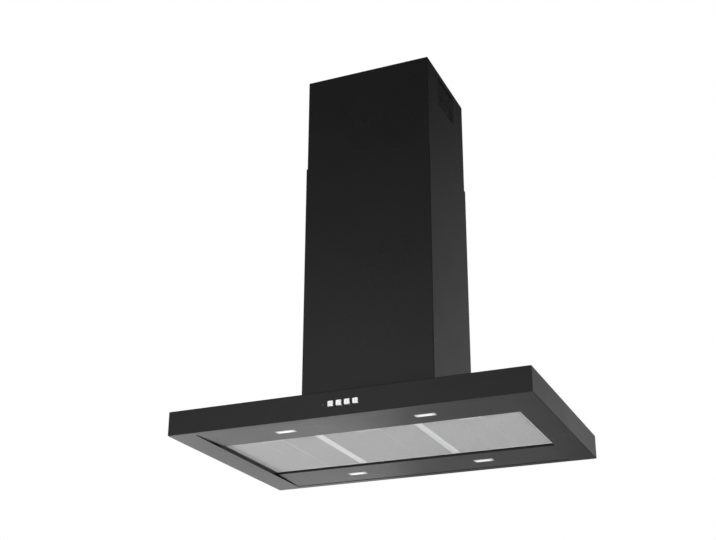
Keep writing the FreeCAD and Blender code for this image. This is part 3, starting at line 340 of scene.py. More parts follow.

# %% [markdown]
# The filters' rims are aluminium profiles, rolled along their length and cut at 45 degrees in the corners,
# so the fine lines run along each side and meet in a joint. The group below works that out from the piece's
# own bounding box: whichever edge is nearest decides which way the lines run. The two end profiles are
# rounded for the hinge and the catch. They are painted darker than the two at the sides, as painted shade
# that tones down their highlight, and the side profiles are painted lighter, as painted light against the
# shade that the canopy's lips cast on them.


# %% Group: profiles that meet in mitred corners
def make_mitred_lines():
    tree, given, result = open_group("mitred_lines", {"Width and depth": (0.2545, 0.304, 0.0)},
                                     ["Lines", "Joint", "Side", "Cloud"])
    coordinates = add_node(tree, "ShaderNodeTexCoord").outputs
    share = add_node(tree, "ShaderNodeSeparateXYZ", {0: coordinates["Generated"]}).outputs
    size = add_node(tree, "ShaderNodeSeparateXYZ", {0: given["Width and depth"]}).outputs
    distance = []
    for axis in (0, 1):
        folded = math_node(tree, "PINGPONG", share[axis], 0.5)
        distance.append(math_node(tree, "MULTIPLY", folded, size[axis]))
    difference = math_node(tree, "SUBTRACT", distance[0], distance[1])
    at_side = math_node(tree, "LESS_THAN", difference, 0.0)
    noises = []
    for stretch in ((30.0, 1800.0, 1800.0), (1800.0, 30.0, 1800.0)):
        place = add_node(tree, "ShaderNodeVectorMath", {0: coordinates["Object"], 1: stretch},
                         operation="MULTIPLY").outputs[0]
        noise = add_node(tree, "ShaderNodeTexNoise", {"Vector": place, "Scale": 1.0, "Detail": 3.0})
        noises.append(noise.outputs[0])
    lines = add_node(tree, "ShaderNodeMix", {0: at_side, 2: noises[0], 3: noises[1]}, data_type="FLOAT")
    tree.links.new(lines.outputs[0], result["Lines"])
    tree.links.new(at_side, result["Side"])
    gap = math_node(tree, "ABSOLUTE", difference)
    tree.links.new(between(tree, gap, 0.0, 1.0, 0.0, 0.0005), result["Joint"])
    cloud = add_node(tree, "ShaderNodeTexNoise", {"Vector": coordinates["Object"], "Scale": 20.0,
                                                  "Detail": 2.0})
    tree.links.new(cloud.outputs[0], result["Cloud"])
    return tree


MITRED_LINES = make_mitred_lines()
print("made", MITRED_LINES.name)

# %% Rolled aluminium rims
FINISH["filter_aluminium"], tree, sockets = open_material("filter_aluminium", 0.50, 0.15)
mitred = place_group(tree, MITRED_LINES)
# painted shade on the end profiles and painted light on the side profiles, not a difference in the metal
end_profile_painted_shade = blend_tones(tree, mitred["Lines"], (0.55, 0.55, 0.555), (0.66, 0.66, 0.665))
side_profile_painted_light = blend_tones(tree, mitred["Lines"], (0.71, 0.71, 0.715), (0.81, 0.81, 0.815))
rolled = add_node(tree, "ShaderNodeMix", {0: mitred["Side"], 6: end_profile_painted_shade, 7: side_profile_painted_light},
                  data_type="RGBA").outputs[2]
jointed = add_node(tree, "ShaderNodeMix", {0: mitred["Joint"], 6: (0.25, 0.25, 0.25, 1.0), 7: rolled},
                   data_type="RGBA").outputs[2]
tree.links.new(jointed, sockets["Base Color"])
roughness_from(tree, sockets, mitred["Cloud"], 0.38, 0.48)
emboss(tree, sockets, mitred["Lines"], 0.00002)
print("rolled aluminium ready")

# %% [markdown]
# The mesh is cut from matt aluminium foil. Its strands are too thin to show much, so a short fine noise is
# enough.

# %% Expanded aluminium
FINISH["mesh_aluminium"], tree, sockets = open_material("mesh_aluminium", 0.50, 0.25)
lines = place_group(tree, DRAWN_LINES, Lines_per_metre=(500.0, 700.0, 900.0))
colour_from(tree, sockets, lines["Lines"], (0.45, 0.45, 0.455), (0.64, 0.64, 0.645))
roughness_from(tree, sockets, lines["Cloud"], 0.38, 0.52)
emboss(tree, sockets, lines["Lines"], 0.00004)
print("expanded aluminium ready")

# %% [markdown]
# The lamp housings are die castings, grey and slightly grainy. The diffusers are opal blocks: the light
# chips above them show as a soft brighter run along the middle. The lamp is on in the photograph, so the
# block glows. Opal plastic lets much of the light through, so its own colour is a middle grey and the glow
# is modest.

# %% Lamp castings and opal diffusers
LAMP_GLOW = 0.65
GLOW_REACH = ((0, 0.30), (1, 0.50))      # axis, share of the block from its edge to the full glow
FINISH["lamp_housing"], tree, sockets = open_material("lamp_housing", 0.5, 0.85)
skin = place_group(tree, MOULDED_SKIN, Grains_per_metre=1200.0)
colour_from(tree, sockets, skin["Flow"], (0.28, 0.28, 0.29), (0.42, 0.42, 0.43))
tree.links.new(between(tree, skin["Grain"], 0.42, 0.58), sockets["Roughness"])
emboss(tree, sockets, skin["Grain"], 0.00006)

FINISH["lamp_diffuser"], tree, sockets = open_material("lamp_diffuser", 0.35, Emission_Strength=LAMP_GLOW)
generated = add_node(tree, "ShaderNodeTexCoord").outputs["Generated"]
share = add_node(tree, "ShaderNodeSeparateXYZ", {0: generated}).outputs
inward = []
for axis, reach in GLOW_REACH:
    ramp = add_node(tree, "ShaderNodeMapRange", {"Value": math_node(tree, "PINGPONG", share[axis], 0.5),
                                                 "From Max": reach}, interpolation_type="SMOOTHSTEP")
    inward.append(ramp.outputs["Result"])
glow = math_node(tree, "MULTIPLY", *inward)
tree.links.new(blend_tones(tree, glow, (0.02, 0.02, 0.02), (1.0, 1.0, 0.985)), sockets["Emission Color"])
opal = add_node(tree, "ShaderNodeTexNoise", {"Vector": object_place(tree), "Scale": 900.0,
                                             "Detail": 2.0}).outputs[0]
colour_from(tree, sockets, opal, (0.42, 0.42, 0.41), (0.52, 0.52, 0.51))
tree.links.new(between(tree, opal, 0.30, 0.45), sockets["Roughness"])
emboss(tree, sockets, opal, 0.00003)
print("lamps glow at", LAMP_GLOW)

# %% [markdown]
# Plastics and rubber differ only in tone, shine and grain, so a table and a loop are enough. The dull skin
# of each comes from its mould, and the way the melt flowed in leaves soft clouds in its shine.

# %% Plastics and rubber
SHEEN_SPREAD = 0.07
PLASTICS = {                 # dark tone, light tone, roughness, grains per metre, depth in metres
    "black_plastic": ((0.004, 0.004, 0.004), (0.009, 0.009, 0.009), 0.62, 2400.0, 0.00003),
    "grey_plastic": ((0.075, 0.075, 0.080), (0.125, 0.125, 0.130), 0.50, 1600.0, 0.00004),
    "rubber_black": ((0.020, 0.020, 0.020), (0.040, 0.040, 0.040), 0.75, 900.0, 0.00005),
    "cable_sheath": ((0.045, 0.045, 0.047), (0.075, 0.075, 0.078), 0.55, 1800.0, 0.00002),
}
for name, (dark, light, roughness, grains, depth) in PLASTICS.items():
    FINISH[name], tree, sockets = open_material(name, roughness)
    skin = place_group(tree, MOULDED_SKIN, Grains_per_metre=grains)
    colour_from(tree, sockets, skin["Flow"], dark, light)
    roughness_from(tree, sockets, skin["Flow"], roughness - SHEEN_SPREAD, roughness + SHEEN_SPREAD)
    emboss(tree, sockets, skin["Grain"], depth)
print("plastics:", ", ".join(PLASTICS))

# %% [markdown]
# A circuit board is glass fibre under green lacquer with copper tracks that show through it as a lighter
# pattern. Squares of stepped noise make tracks that run only along and across the board.

# %% Circuit board
FINISH["circuit_board"], tree, sockets = open_material("circuit_board", 0.38)
place = object_place(tree)
tracks = add_node(tree, "ShaderNodeTexBrick", {"Vector": place, "Scale": 120.0, "Mortar Size": 0.06,
                                               "Color1": (0.016, 0.110, 0.045, 1.0),
                                               "Color2": (0.022, 0.150, 0.062, 1.0),
                                               "Mortar": (0.045, 0.240, 0.110, 1.0)})
tree.links.new(tracks.outputs["Color"], sockets["Base Color"])
tree.links.new(between(tree, tracks.outputs["Fac"], 0.34, 0.46), sockets["Roughness"])
emboss(tree, sockets, tracks.outputs["Fac"], 0.00003)
print("circuit board ready")

# %% [markdown]
# The button caps are plated plastic with a fine brushed grain, the brightest things on the canopy's front.
# The indicator is tinted clear plastic that looks nearly black when it is off. The motor is painted dark
# grey.

# %% Buttons, indicator and motor paint
FINISH["button_metal"], tree, sockets = open_material("button_metal", 0.28, 0.35)
lines = place_group(tree, DRAWN_LINES, Lines_per_metre=(2400.0, 2400.0, 60.0))
colour_from(tree, sockets, lines["Lines"], (0.86, 0.86, 0.865), (0.96, 0.96, 0.965))
roughness_from(tree, sockets, lines["Cloud"], 0.22, 0.34)
emboss(tree, sockets, lines["Lines"], 0.00001)

FINISH["indicator_lens"], tree, sockets = open_material("indicator_lens", 0.25)
skin = place_group(tree, MOULDED_SKIN, Grains_per_metre=800.0)
colour_from(tree, sockets, skin["Flow"], (0.030, 0.030, 0.032), (0.060, 0.060, 0.062))
tree.links.new(between(tree, skin["Flow"], 0.20, 0.30), sockets["Roughness"])

FINISH["motor_casing"], tree, sockets = open_material("motor_casing", 0.40)
pebbles = place_group(tree, POWDER_PEBBLES, Pebbles_per_metre=1100.0)
colour_from(tree, sockets, pebbles["Speck"], (0.06, 0.06, 0.065), (0.10, 0.10, 0.105))
roughness_from(tree, sockets, pebbles["Cloud"], 0.34, 0.46)
emboss(tree, sockets, pebbles["Height"], 0.00004)

FINISH["button_ink"], tree, sockets = open_material("button_ink", 0.5)
skin = place_group(tree, MOULDED_SKIN, Grains_per_metre=3000.0)
colour_from(tree, sockets, skin["Flow"], (0.10, 0.10, 0.105), (0.18, 0.18, 0.185))
print(len(FINISH), "finishes")

# %% [markdown]
# ## Dress the solids
#
# The record says which slot each node takes its finish from, so one loop can dress the whole frame.

# %% Assign a finish to every node
for row in frame["record"]["subparts"]:
    node = frame["nodes"][row["node"]]
    node.data.materials.clear()
    node.data.materials.append(FINISH[row["material_slot"]])


# %% [markdown]
# ## Mesh helpers
#
# Most small parts of a hood are lofts: an outline that changes size as it goes back. A ring of points per
# step and a skin between the rings gives a clean mesh, with rounded edges where two rings lie close
# together.


# %% Helpers for new pieces
def finish_piece(name, mesh, slot, body, replaces=(), material=None, sharp=35.0):
    """Makes an object of a mesh in millimetres, dresses it and lets it ride on its body."""
    piece = bpy.data.objects.new(name, mesh)
    bpy.context.scene.collection.objects.link(piece)
    mesh.materials.clear()
    mesh.materials.append(FINISH[material or slot])
    mesh.shade_smooth()
    mesh.set_sharp_from_angle(angle=math.radians(sharp))
    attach(piece, body)
    if replaces:
        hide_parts(*replaces)
    return piece


def mesh_of(bm, name):
    """Closes a bmesh whose points are in millimetres and returns it as a mesh in metres."""
    bmesh.ops.recalc_face_normals(bm, faces=bm.faces)
    for vert in bm.verts:
        vert.co *= MM
    mesh = bpy.data.meshes.new(name)
    bm.to_mesh(mesh)
    bm.free()
    return mesh


def skin_rings(bm, rings):
    """A closed skin over rings of points, with the first and last ring filled."""
    loops = [[bm.verts.new(point) for point in ring] for ring in rings]
    for near, far in zip(loops, loops[1:]):
        count = len(near)
        for k in range(count):
            bm.faces.new((near[k], near[(k + 1) % count], far[(k + 1) % count], far[k]))
    bm.faces.new(loops[0])
    bm.faces.new(loops[-1])


def rounded_outline(half_u, half_v, radius, steps=5):
    """Points round a rectangle with rounded corners, as (u, v) pairs."""
    points = []
    for quarter, (sign_u, sign_v) in enumerate(((1, 1), (-1, 1), (-1, -1), (1, -1))):
        for step in range(steps + 1):
            turn = math.radians(90.0 * (quarter + step / steps))
            points.append((sign_u * (half_u - radius) + radius * math.cos(turn),
                           sign_v * (half_v - radius) + radius * math.sin(turn)))
    return points


def box_of(node):
    """A node's lowest and highest corner in millimetres."""
    low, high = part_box(node)
    return low / MM, high / MM


print("mesh helpers ready")

# %% [markdown]
# ## Expanded metal
#
# A grease filter is a stack of expanded aluminium: sheet that is slit and pulled until each slit opens into
# a diamond. The strands tilt as they are pulled, which is what makes the sheet sparkle. Here each diamond
# is a cell of a leaning lattice with a smaller diamond cut out of it, and the hole's two near corners are
# raised and lowered so that the strands tilt. The upper sheet is tucked into the rim. The lower one is cut
# to size along the rim and round the catch's boss, and pressed down until it is level with them, so that no
# shadow gap shows. A Solidify modifier gives the sheets their thickness.

# %% Expanded metal sheet
DIAMOND_LONG, DIAMOND_SHORT = 12.0, 6.0
STRAND, STRAND_TILT, FOIL = 1.15, 0.55, 0.5
FLUSH_GAP, UPPER_DROP = 0.05, 0.6        # lower sheet above the rim's face, upper one below the groove's top
LATTICE_SPARE, GROOVE_PLAY = 2.0, 0.5
FILTER_SIDES = ("left", "middle", "right")
RIM_WIDTH, GROOVE, REAR_GROOVE = 9.5, 3.0, 1.5
BOSS_HALF, BOSS_DEPTH = 28.0, 24.0


def expanded_sheet(low, high, height):
    """A sheet of diamonds between two corners."""
    half_long, half_short = DIAMOND_LONG / 2, DIAMOND_SHORT / 2
    corner_of, points, faces = {}, [], []

    def lattice_point(column, row):
        key = (column, row)
        if key not in corner_of:
            corner_of[key] = len(points)
            x, y = low.x + column * half_long, low.y + row * half_short
            points.append((x, y, height))
        return corner_of[key]

    columns = int((high.x - low.x) / half_long)
    rows = int((high.y - low.y) / half_short)
    hole_long = half_long - STRAND / math.sin(math.atan2(half_short, half_long)) / 2
    hole_short = hole_long * half_short / half_long
    for row in range(1, rows):
        for column in range(1, columns):
            if (column + row) % 2:
                continue
            x, y = low.x + column * half_long, low.y + row * half_short
            outer = [lattice_point(column + 1, row), lattice_point(column, row + 1),
                     lattice_point(column - 1, row), lattice_point(column, row - 1)]
            first = len(points)
            for u, v, tilt in ((hole_long, 0, 0), (0, hole_short, STRAND_TILT),
                               (-hole_long, 0, 0), (0, -hole_short, -STRAND_TILT)):
                points.append((x + u, y + v, height + tilt))
            for k in range(4):
                nxt = (k + 1) % 4
                faces.append((outer[k], outer[nxt], first + nxt, first + k))
    mesh = bpy.data.meshes.new("expanded_mesh")
    mesh.from_pydata([Vector(point) * MM for point in points], [], faces)
    return mesh


def cut_sheet(mesh, low, high, boss_end):
    """Cuts a sheet straight along a rectangle, and round the boss at the middle of its front side."""
    bm = bmesh.new()
    bm.from_mesh(mesh)
    middle_x = (low.x + high.x) / 2
    outer_cuts = [(low, (-1, 0, 0)), (low, (0, -1, 0)), (high, (1, 0, 0)), (high, (0, 1, 0))]
    boss_cuts = [((middle_x - BOSS_HALF, 0, 0), (1, 0, 0)), ((middle_x + BOSS_HALF, 0, 0), (1, 0, 0)),
                 ((0, boss_end, 0), (0, 1, 0))]
    for place, outward in outer_cuts + boss_cuts:
        bmesh.ops.bisect_plane(bm, geom=bm.verts[:] + bm.edges[:] + bm.faces[:], dist=1e-6,
                               plane_co=Vector(place) * MM, plane_no=outward,
                               clear_outer=(place, outward) in outer_cuts)
    over_boss = []
    for face in bm.faces:
        middle = face.calc_center_median() / MM
        if middle.y < boss_end and abs(middle.x - middle_x) < BOSS_HALF:
            over_boss.append(face)
    bmesh.ops.delete(bm, geom=over_boss, context="FACES")
    bm.to_mesh(mesh)
    bm.free()
    return mesh


for side in FILTER_SIDES:
    low, high = box_of("filter_mesh_" + side)
    flush = box_of("filter_frame_" + side)[0].z + STRAND_TILT + FOIL / 2 + FLUSH_GAP
    boss_end = low.y - (RIM_WIDTH - GROOVE) + BOSS_DEPTH
    spare, play = Vector((LATTICE_SPARE, LATTICE_SPARE, 0)), Vector((GROOVE_PLAY, GROOVE_PLAY, 0))
    lower = cut_sheet(expanded_sheet(low - spare, high + spare, flush),
                      low + Vector((GROOVE, GROOVE, 0)), high - Vector((GROOVE, REAR_GROOVE, 0)), boss_end)
    upper = cut_sheet(expanded_sheet(low, high, high.z - UPPER_DROP), low + play, high - play, boss_end)
    for layer, mesh in (("lower", lower), ("upper", upper)):
        sheet = finish_piece("expanded_mesh_%s_%s" % (layer, side), mesh, "mesh_aluminium",
                             "filter_" + side, ["filter_mesh_" + side], sharp=180.0)
        solid = sheet.modifiers.new("foil", "SOLIDIFY")
        solid.thickness, solid.offset = FOIL * MM, 0.0
print("expanded metal:", len(sheet.data.polygons), "strand faces a sheet")

# %% [markdown]
# Between the two outer layers lie finer ones, pressed together, which stop the view through the filter. A
# thin wavy sheet of the same metal stands for them.

# %% Inner wadding of the filters
WAVE_LENGTH, WAVE_HEIGHT, WAVE_STEP = 9.0, 0.9, 3.0
WADDING_INSET, WADDING_FOIL = 5.0, 0.3
WADDING_START = 17.0                     # behind the mesh's front edge, so that the catch's boss stays clear


def wavy_sheet(low, high, height):
    """A sheet pressed into slanting waves."""
    across = np.arange(low.x, high.x + 0.01, (high.x - low.x) / round((high.x - low.x) / WAVE_STEP))
    along = np.arange(low.y, high.y + 0.01, (high.y - low.y) / round((high.y - low.y) / WAVE_STEP))
    x, y = np.meshgrid(across, along)
    phase = 2 * math.pi / WAVE_LENGTH
    z = height + WAVE_HEIGHT * np.sin((x + 0.5 * y) * phase) * np.cos((y - 0.35 * x) * phase * 0.8)
    points = np.stack([x, y, z], -1).reshape(-1, 3) * MM
    wide, deep = len(across), len(along)
    corner = (np.arange(deep - 1)[:, None] * wide + np.arange(wide - 1)[None, :]).reshape(-1)
    faces = np.stack([corner, corner + 1, corner + wide + 1, corner + wide], -1)
    mesh = bpy.data.meshes.new("filter_wadding")
    mesh.from_pydata(points.tolist(), [], faces.tolist())
    return mesh


for side in FILTER_SIDES:
    low, high = box_of("filter_mesh_" + side)
    inset = Vector((WADDING_INSET, WADDING_INSET, 0))
    low.y += WADDING_START
    mesh = wavy_sheet(low + inset, high - inset, (low.z + high.z) / 2)
    wadding = finish_piece("filter_wadding_" + side, mesh, "mesh_aluminium", "filter_" + side, sharp=180.0)
    solid = wadding.modifiers.new("foil", "SOLIDIFY")
    solid.thickness, solid.offset = WADDING_FOIL * MM, 0.0
print("wadding:", len(wadding.data.polygons), "faces a filter")

# %% [markdown]
# ## Rims and catches with broken edges
#
# A drawn profile never has knife edges. The rims and their catches keep the solids' shape; a copy of each
# mesh is cleaned up, its sharp edges are beveled, and it stands in for the node.


# %% Beveled copies of solids
RIM_BEVEL, CATCH_BEVEL, SHARP_ANGLE = 0.6, 0.4, 50.0


def beveled_copy(node, name, slot, body, width):
    """Copies a node's mesh, merges its triangles into flat faces and bevels its sharp edges."""
    bm = bmesh.new()
    bm.from_mesh(frame["nodes"][node].data)
    bmesh.ops.scale(bm, vec=(1 / MM, 1 / MM, 1 / MM), verts=bm.verts)
    bmesh.ops.remove_doubles(bm, verts=bm.verts, dist=0.005)
    bmesh.ops.dissolve_limit(bm, angle_limit=math.radians(1.0), verts=bm.verts, edges=bm.edges)
    sharp = [edge for edge in bm.edges
             if edge.is_manifold and edge.calc_face_angle() > math.radians(SHARP_ANGLE)]
    bmesh.ops.bevel(bm, geom=sharp, offset=width, segments=2, profile=0.6, affect="EDGES", clamp_overlap=True)
    return finish_piece(name, mesh_of(bm, name), slot, body, [node])


for side in FILTER_SIDES:
    rim = beveled_copy("filter_frame_" + side, "filter_rim_" + side, "filter_aluminium", "filter_" + side,
                       RIM_BEVEL)
    beveled_copy("filter_latch_" + side, "filter_catch_" + side, "latch_steel", "latch_" + side, CATCH_BEVEL)
print("rim:", len(rim.data.polygons), "faces")

# %% [markdown]
# ## Push buttons
#
# The four caps are bright squares with soft corners and a face that is dished for the fingertip. Behind
# each are a flange that keeps it in the panel, a square stem and a round plunger. Rings of a rounded
# square, stepping back along Y, give all of that in one skin.

# %% Button caps
BUTTONS = ("button_light", "button_speed_1", "button_speed_2", "button_speed_3")
CAP_HALF, CAP_CORNER, CAP_ROUND, CAP_DISH = 6.3, 1.7, 0.9, 0.25
CAP_DEPTH, FLANGE_HALF, FLANGE_THICK = 4.6, 7.8, 1.0
STEM_HALF, STEM_END, PLUNGER_RADIUS, PLUNGER_END = 5.0, 18.5, 1.5, 22.0
BUTTON_Z = -975.0


def button_middle(name):
    """A button's place along the canopy and its front face."""
    low, high = box_of(name)
    return (low.x + high.x) / 2, low.y


def button_mesh(name):
    """Rings from the dish in the middle of the face out to its edge and back to the plunger."""
    x, front = button_middle(name)
    rings = []

    def ring(half, y, corner):
        rings.append([(x + u, y, BUTTON_Z + v) for u, v in rounded_outline(half, half, corner)])

    for share in (0.12, 0.45, 0.75, 1.0):
        half = (CAP_HALF - CAP_ROUND) * share
        ring(half, front + CAP_DISH * math.cos(share * math.pi / 2), CAP_CORNER * 0.6 * share)
    for turn in (30, 60, 90):
        angle = math.radians(turn)
        ring(CAP_HALF - CAP_ROUND * (1 - math.sin(angle)), front + CAP_ROUND * (1 - math.cos(angle)),
             CAP_CORNER * (0.6 + 0.4 * turn / 90))
    back = CAP_DEPTH + FLANGE_THICK
    for half, depth, corner in ((CAP_HALF, CAP_DEPTH, CAP_CORNER), (FLANGE_HALF, CAP_DEPTH, 1.0),
                                (FLANGE_HALF, back, 1.0), (STEM_HALF, back, 0.5), (STEM_HALF, STEM_END, 0.5),
                                (PLUNGER_RADIUS, STEM_END, 1.4), (PLUNGER_RADIUS, PLUNGER_END, 1.4)):
        ring(half, front + depth, corner)
    bm = bmesh.new()
    skin_rings(bm, rings)
    return mesh_of(bm, name)


for name in BUTTONS:
    cap = finish_piece(name + "_dished", button_mesh(name), "button_metal", name + "_cap", [name])
print("button cap:", len(cap.data.polygons), "faces")

# %% [markdown]
# Each cap carries a small printed mark. The real marks are too small to read, so plain ones are used: the
# numbers 1 to 3 for the fan's speeds, and a ring with rays for the lamps.

# %% Button marks
MARK_PROUD, MARK_THICK, NUMBER_SIZE = 0.03, 0.1, 5.6
SUN_RING, SUN_RAY, SUN_RAY_HALF, SUN_RAYS = (1.15, 1.55), (2.0, 2.9), 0.16, 8


def number_mesh(text, size):
    """A number as a thin slab, standing upright and facing -Y, centred on the origin."""
    curve = bpy.data.curves.new("mark", "FONT")
    curve.body, curve.size, curve.extrude = text, size, MARK_THICK / 2
    curve.align_x, curve.align_y = "CENTER", "CENTER"
    curve.resolution_u = 6
    writer = bpy.data.objects.new("mark", curve)
    bm = bmesh.new()
    bm.from_mesh(bpy.data.meshes.new_from_object(writer))
    bmesh.ops.rotate(bm, verts=bm.verts, matrix=Matrix.Rotation(math.radians(90), 3, "X"))
    bpy.data.objects.remove(writer)
    return bm


def sun_mesh():
    """A ring with eight rays, the usual sign for a lamp."""
    bm = bmesh.new()
    half = MARK_THICK / 2
    circle = [math.radians(15 * k) for k in range(24)]
    inner, outer = SUN_RING
    loops = [[bm.verts.new((radius * math.cos(turn), depth, radius * math.sin(turn))) for turn in circle]
             for radius, depth in ((inner, half), (outer, half), (outer, -half), (inner, -half))]
    for near, far in zip(loops, loops[1:] + loops[:1]):
        for k in range(24):
            bm.faces.new((near[k], near[(k + 1) % 24], far[(k + 1) % 24], far[k]))
    for k in range(SUN_RAYS):
        turn = math.tau * k / SUN_RAYS
        along = Vector((math.cos(turn), 0, math.sin(turn)))
        aside = Vector((-along.z, 0, along.x)) * SUN_RAY_HALF
        through = Vector((0, half, 0))
        section = (aside + through, -aside + through, -aside - through, aside - through)
        skin_rings(bm, [[along * reach + corner for corner in section] for reach in SUN_RAY])
    return bm


for name, text in zip(BUTTONS, ("", "1", "2", "3")):
    bm = number_mesh(text, NUMBER_SIZE) if text else sun_mesh()
    x, front = button_middle(name)
    bmesh.ops.translate(bm, verts=bm.verts, vec=(x, front + CAP_DISH - MARK_PROUD, BUTTON_Z))
    finish_piece(name + "_mark", mesh_of(bm, "mark"), "button_metal", name + "_cap", material="button_ink")
print("marks on", len(BUTTONS), "buttons")

# %% [markdown]
# ## Indicator and lamp diffusers
#
# The indicator is a light pipe with a domed end. The diffusers are opal blocks with a slightly crowned
# face, rounded corners, and a lip above that rests on the strip.

# %% Indicator light
PIPE_DEEPER = 0.32           # the pipe's hidden end goes this much further into its housing than the solid's
PIPE_DOME = ((0.5, 0.0), (1.1, 0.08), (1.6, 0.24), (1.85, 0.44), (1.98, 0.72))   # radius, depth
low, high = box_of("indicator_light")
middle = (low + high) / 2
pipe = []
for radius, depth in PIPE_DOME + ((PIPE_DOME[-1][0], high.y - low.y + PIPE_DEEPER),):
    pipe.append([(middle.x + radius * math.cos(math.radians(15 * k)), low.y + depth,
                  middle.z + radius * math.sin(math.radians(15 * k))) for k in range(24)])
bm = bmesh.new()
skin_rings(bm, pipe)
finish_piece("indicator_pipe", mesh_of(bm, "indicator_pipe"), "indicator_lens", "hood", ["indicator_light"])
print("indicator at x %.0f mm" % middle.x)

# %% [markdown]
# A diffuser is lofted flat, from the middle of its crowned face out and up to its lip, and is then tilted
# like the light strip that carries it.

# %% Lamp diffusers
LENS_LENGTH, LENS_WIDTH, LENS_LIP = 49.6, 19.6, 2.2
LENS_CORNER, LENS_CROWN = 1.2, 0.5
STRIP_RISE, STRIP_DEPTH = 3.6, 127.0
LAMPS = [end + "_" + side for end in ("front", "rear") for side in ("left", "right")]


def diffuser_mesh(name):
    """Crowned face, rounded edge, straight side and the lip on top, tilted with the strip that carries it."""
    low, high = box_of(name)
    middle = (low + high) / 2
    half_u, half_v = LENS_LENGTH / 2, LENS_WIDTH / 2
    rings = []
    for share in (0.25, 0.5, 0.75, 0.92):
        rings.append((half_u * share, half_v * share, -1.4 - LENS_CROWN * math.cos(share * math.pi / 2), 0.4))
    rings += [(half_u - 0.15, half_v - 0.15, -1.28, LENS_CORNER), (half_u, half_v, -1.0, LENS_CORNER),
              (half_u, half_v, 0.2, LENS_CORNER), (half_u + LENS_LIP, half_v + LENS_LIP, 0.2, 1.5),
              (half_u + LENS_LIP, half_v + LENS_LIP, 1.4, 1.5)]
    bm = bmesh.new()
    skin_rings(bm, [[(u, v, z) for u, v in rounded_outline(a, b, corner)] for a, b, z, corner in rings])
    slope = math.copysign(math.atan2(STRIP_RISE, STRIP_DEPTH), -middle.y)
    bmesh.ops.rotate(bm, verts=bm.verts, matrix=Matrix.Rotation(slope, 3, "X"))
    bmesh.ops.translate(bm, verts=bm.verts, vec=middle)
    return mesh_of(bm, name)


for lamp in LAMPS:
    lens = finish_piece("diffuser_" + lamp, diffuser_mesh("lamp_lens_" + lamp), "lamp_diffuser", "hood",
                        ["lamp_lens_" + lamp])
print("diffuser:", len(lens.data.polygons), "faces")

# %% [markdown]
# ## The chimney's back
#
# Each half of the chimney is one sheet folded round, and its two edges meet at the back under a flat cover
# strip. Small domed screws hold the halves to the frame there, where they don't show. A cover strip is a
# loft of three rounded outlines. A screw is a stack of circles that dips into a six-sided driving hole.

# %% Cover strips and screws at the back
COVER_WIDTH, COVER_PROUD, COVER_EDGE = 22.0, 0.45, 0.3
SCREW_RINGS = ((3.6, 0.0), (3.6, 0.5), (3.1, 1.3), (2.2, 1.9), (1.5, 2.1))   # radius, height over the sheet
SCREW_X = 150.0
DRIVER_HALF, DRIVER_DEPTH = 1.25, 1.4
CHIMNEY_BACK = (             # half, body, room left under and over its strip, height of its screws
    ("lower", "hood", 18.0, 18.0, 15.0),
    ("upper", "ceiling_mount", 2.0, 12.0, -14.0),
)


def cover_strip(back, bottom, top):
    """A flat strip with softened edges that lies on the chimney's back."""
    middle = (bottom + top) / 2
    rings = []
    for shrink, proud in ((0.0, 0.0), (0.0, COVER_PROUD - COVER_EDGE), (COVER_EDGE, COVER_PROUD)):
        outline = rounded_outline(COVER_WIDTH / 2 - shrink, (top - bottom) / 2 - shrink, 1.0)
        rings.append([(u, back + proud, middle + v) for u, v in outline])
    bm = bmesh.new()
    skin_rings(bm, rings)
    return mesh_of(bm, "cover_strip")


def screw_mesh(x, back, z):
    """A domed head, seen from behind, with a six-sided hole in its middle."""
    turns = [math.tau * k / 24 for k in range(24)]
    rings = [[(x + radius * math.cos(turn), back + proud, z + radius * math.sin(turn)) for turn in turns]
             for radius, proud in SCREW_RINGS]
    proud = SCREW_RINGS[-1][1]
    for depth in (0.0, DRIVER_DEPTH):
        ring = []
        for turn in turns:
            to_corner = (turn + math.pi / 6) % (math.pi / 3) - math.pi / 6
            reach = DRIVER_HALF * math.cos(math.pi / 6) / math.cos(to_corner)
            ring.append((x + reach * math.cos(turn), back + proud - depth, z + reach * math.sin(turn)))
        rings.append(ring)
    bm = bmesh.new()
    skin_rings(bm, rings)
    return mesh_of(bm, "back_screw")


for half, body, room_under, room_over, screw_height in CHIMNEY_BACK:
    low, high = box_of("chimney_" + half)
    strip = cover_strip(high.y, low.z + room_under, high.z - room_over)
    finish_piece("cover_strip_" + half, strip, "black_enamel", body)
    z = screw_height + (low.z if screw_height > 0 else high.z)
    for side, x in (("left", -SCREW_X), ("right", SCREW_X)):
        screw = finish_piece("back_screw_%s_%s" % (half, side), screw_mesh(x, high.y, z), "zinc_screws", body,
                             material="black_screws")
print("back screws: %d faces each" % len(screw.data.polygons))

# %% [markdown]
# ## Studio
#
# Black enamel shows hardly any colour of its own: what is seen on it is the room's reflection. So the room
# is painted in bands by height, as a studio with pale walls would look: brightest a little above the
# horizon, darker towards a high ceiling, and nearly black just below the horizon. The hood is photographed
# against white. Camera rays see that white everywhere. Rays that come from metal or glass see it too, but
# only where the white backdrop would stand, behind the hood as the photograph looks at it.

# %% Room
WALL_BANDS = (               # degrees above the horizon, brightness
    (-90, 0.30), (-40, 0.40), (-20, 0.32), (-8, 0.015), (4, 0.25), (12, 0.55),
    (18, 0.35), (25, 0.20), (33, 0.03), (50, 0.08), (90, 0.25),
)

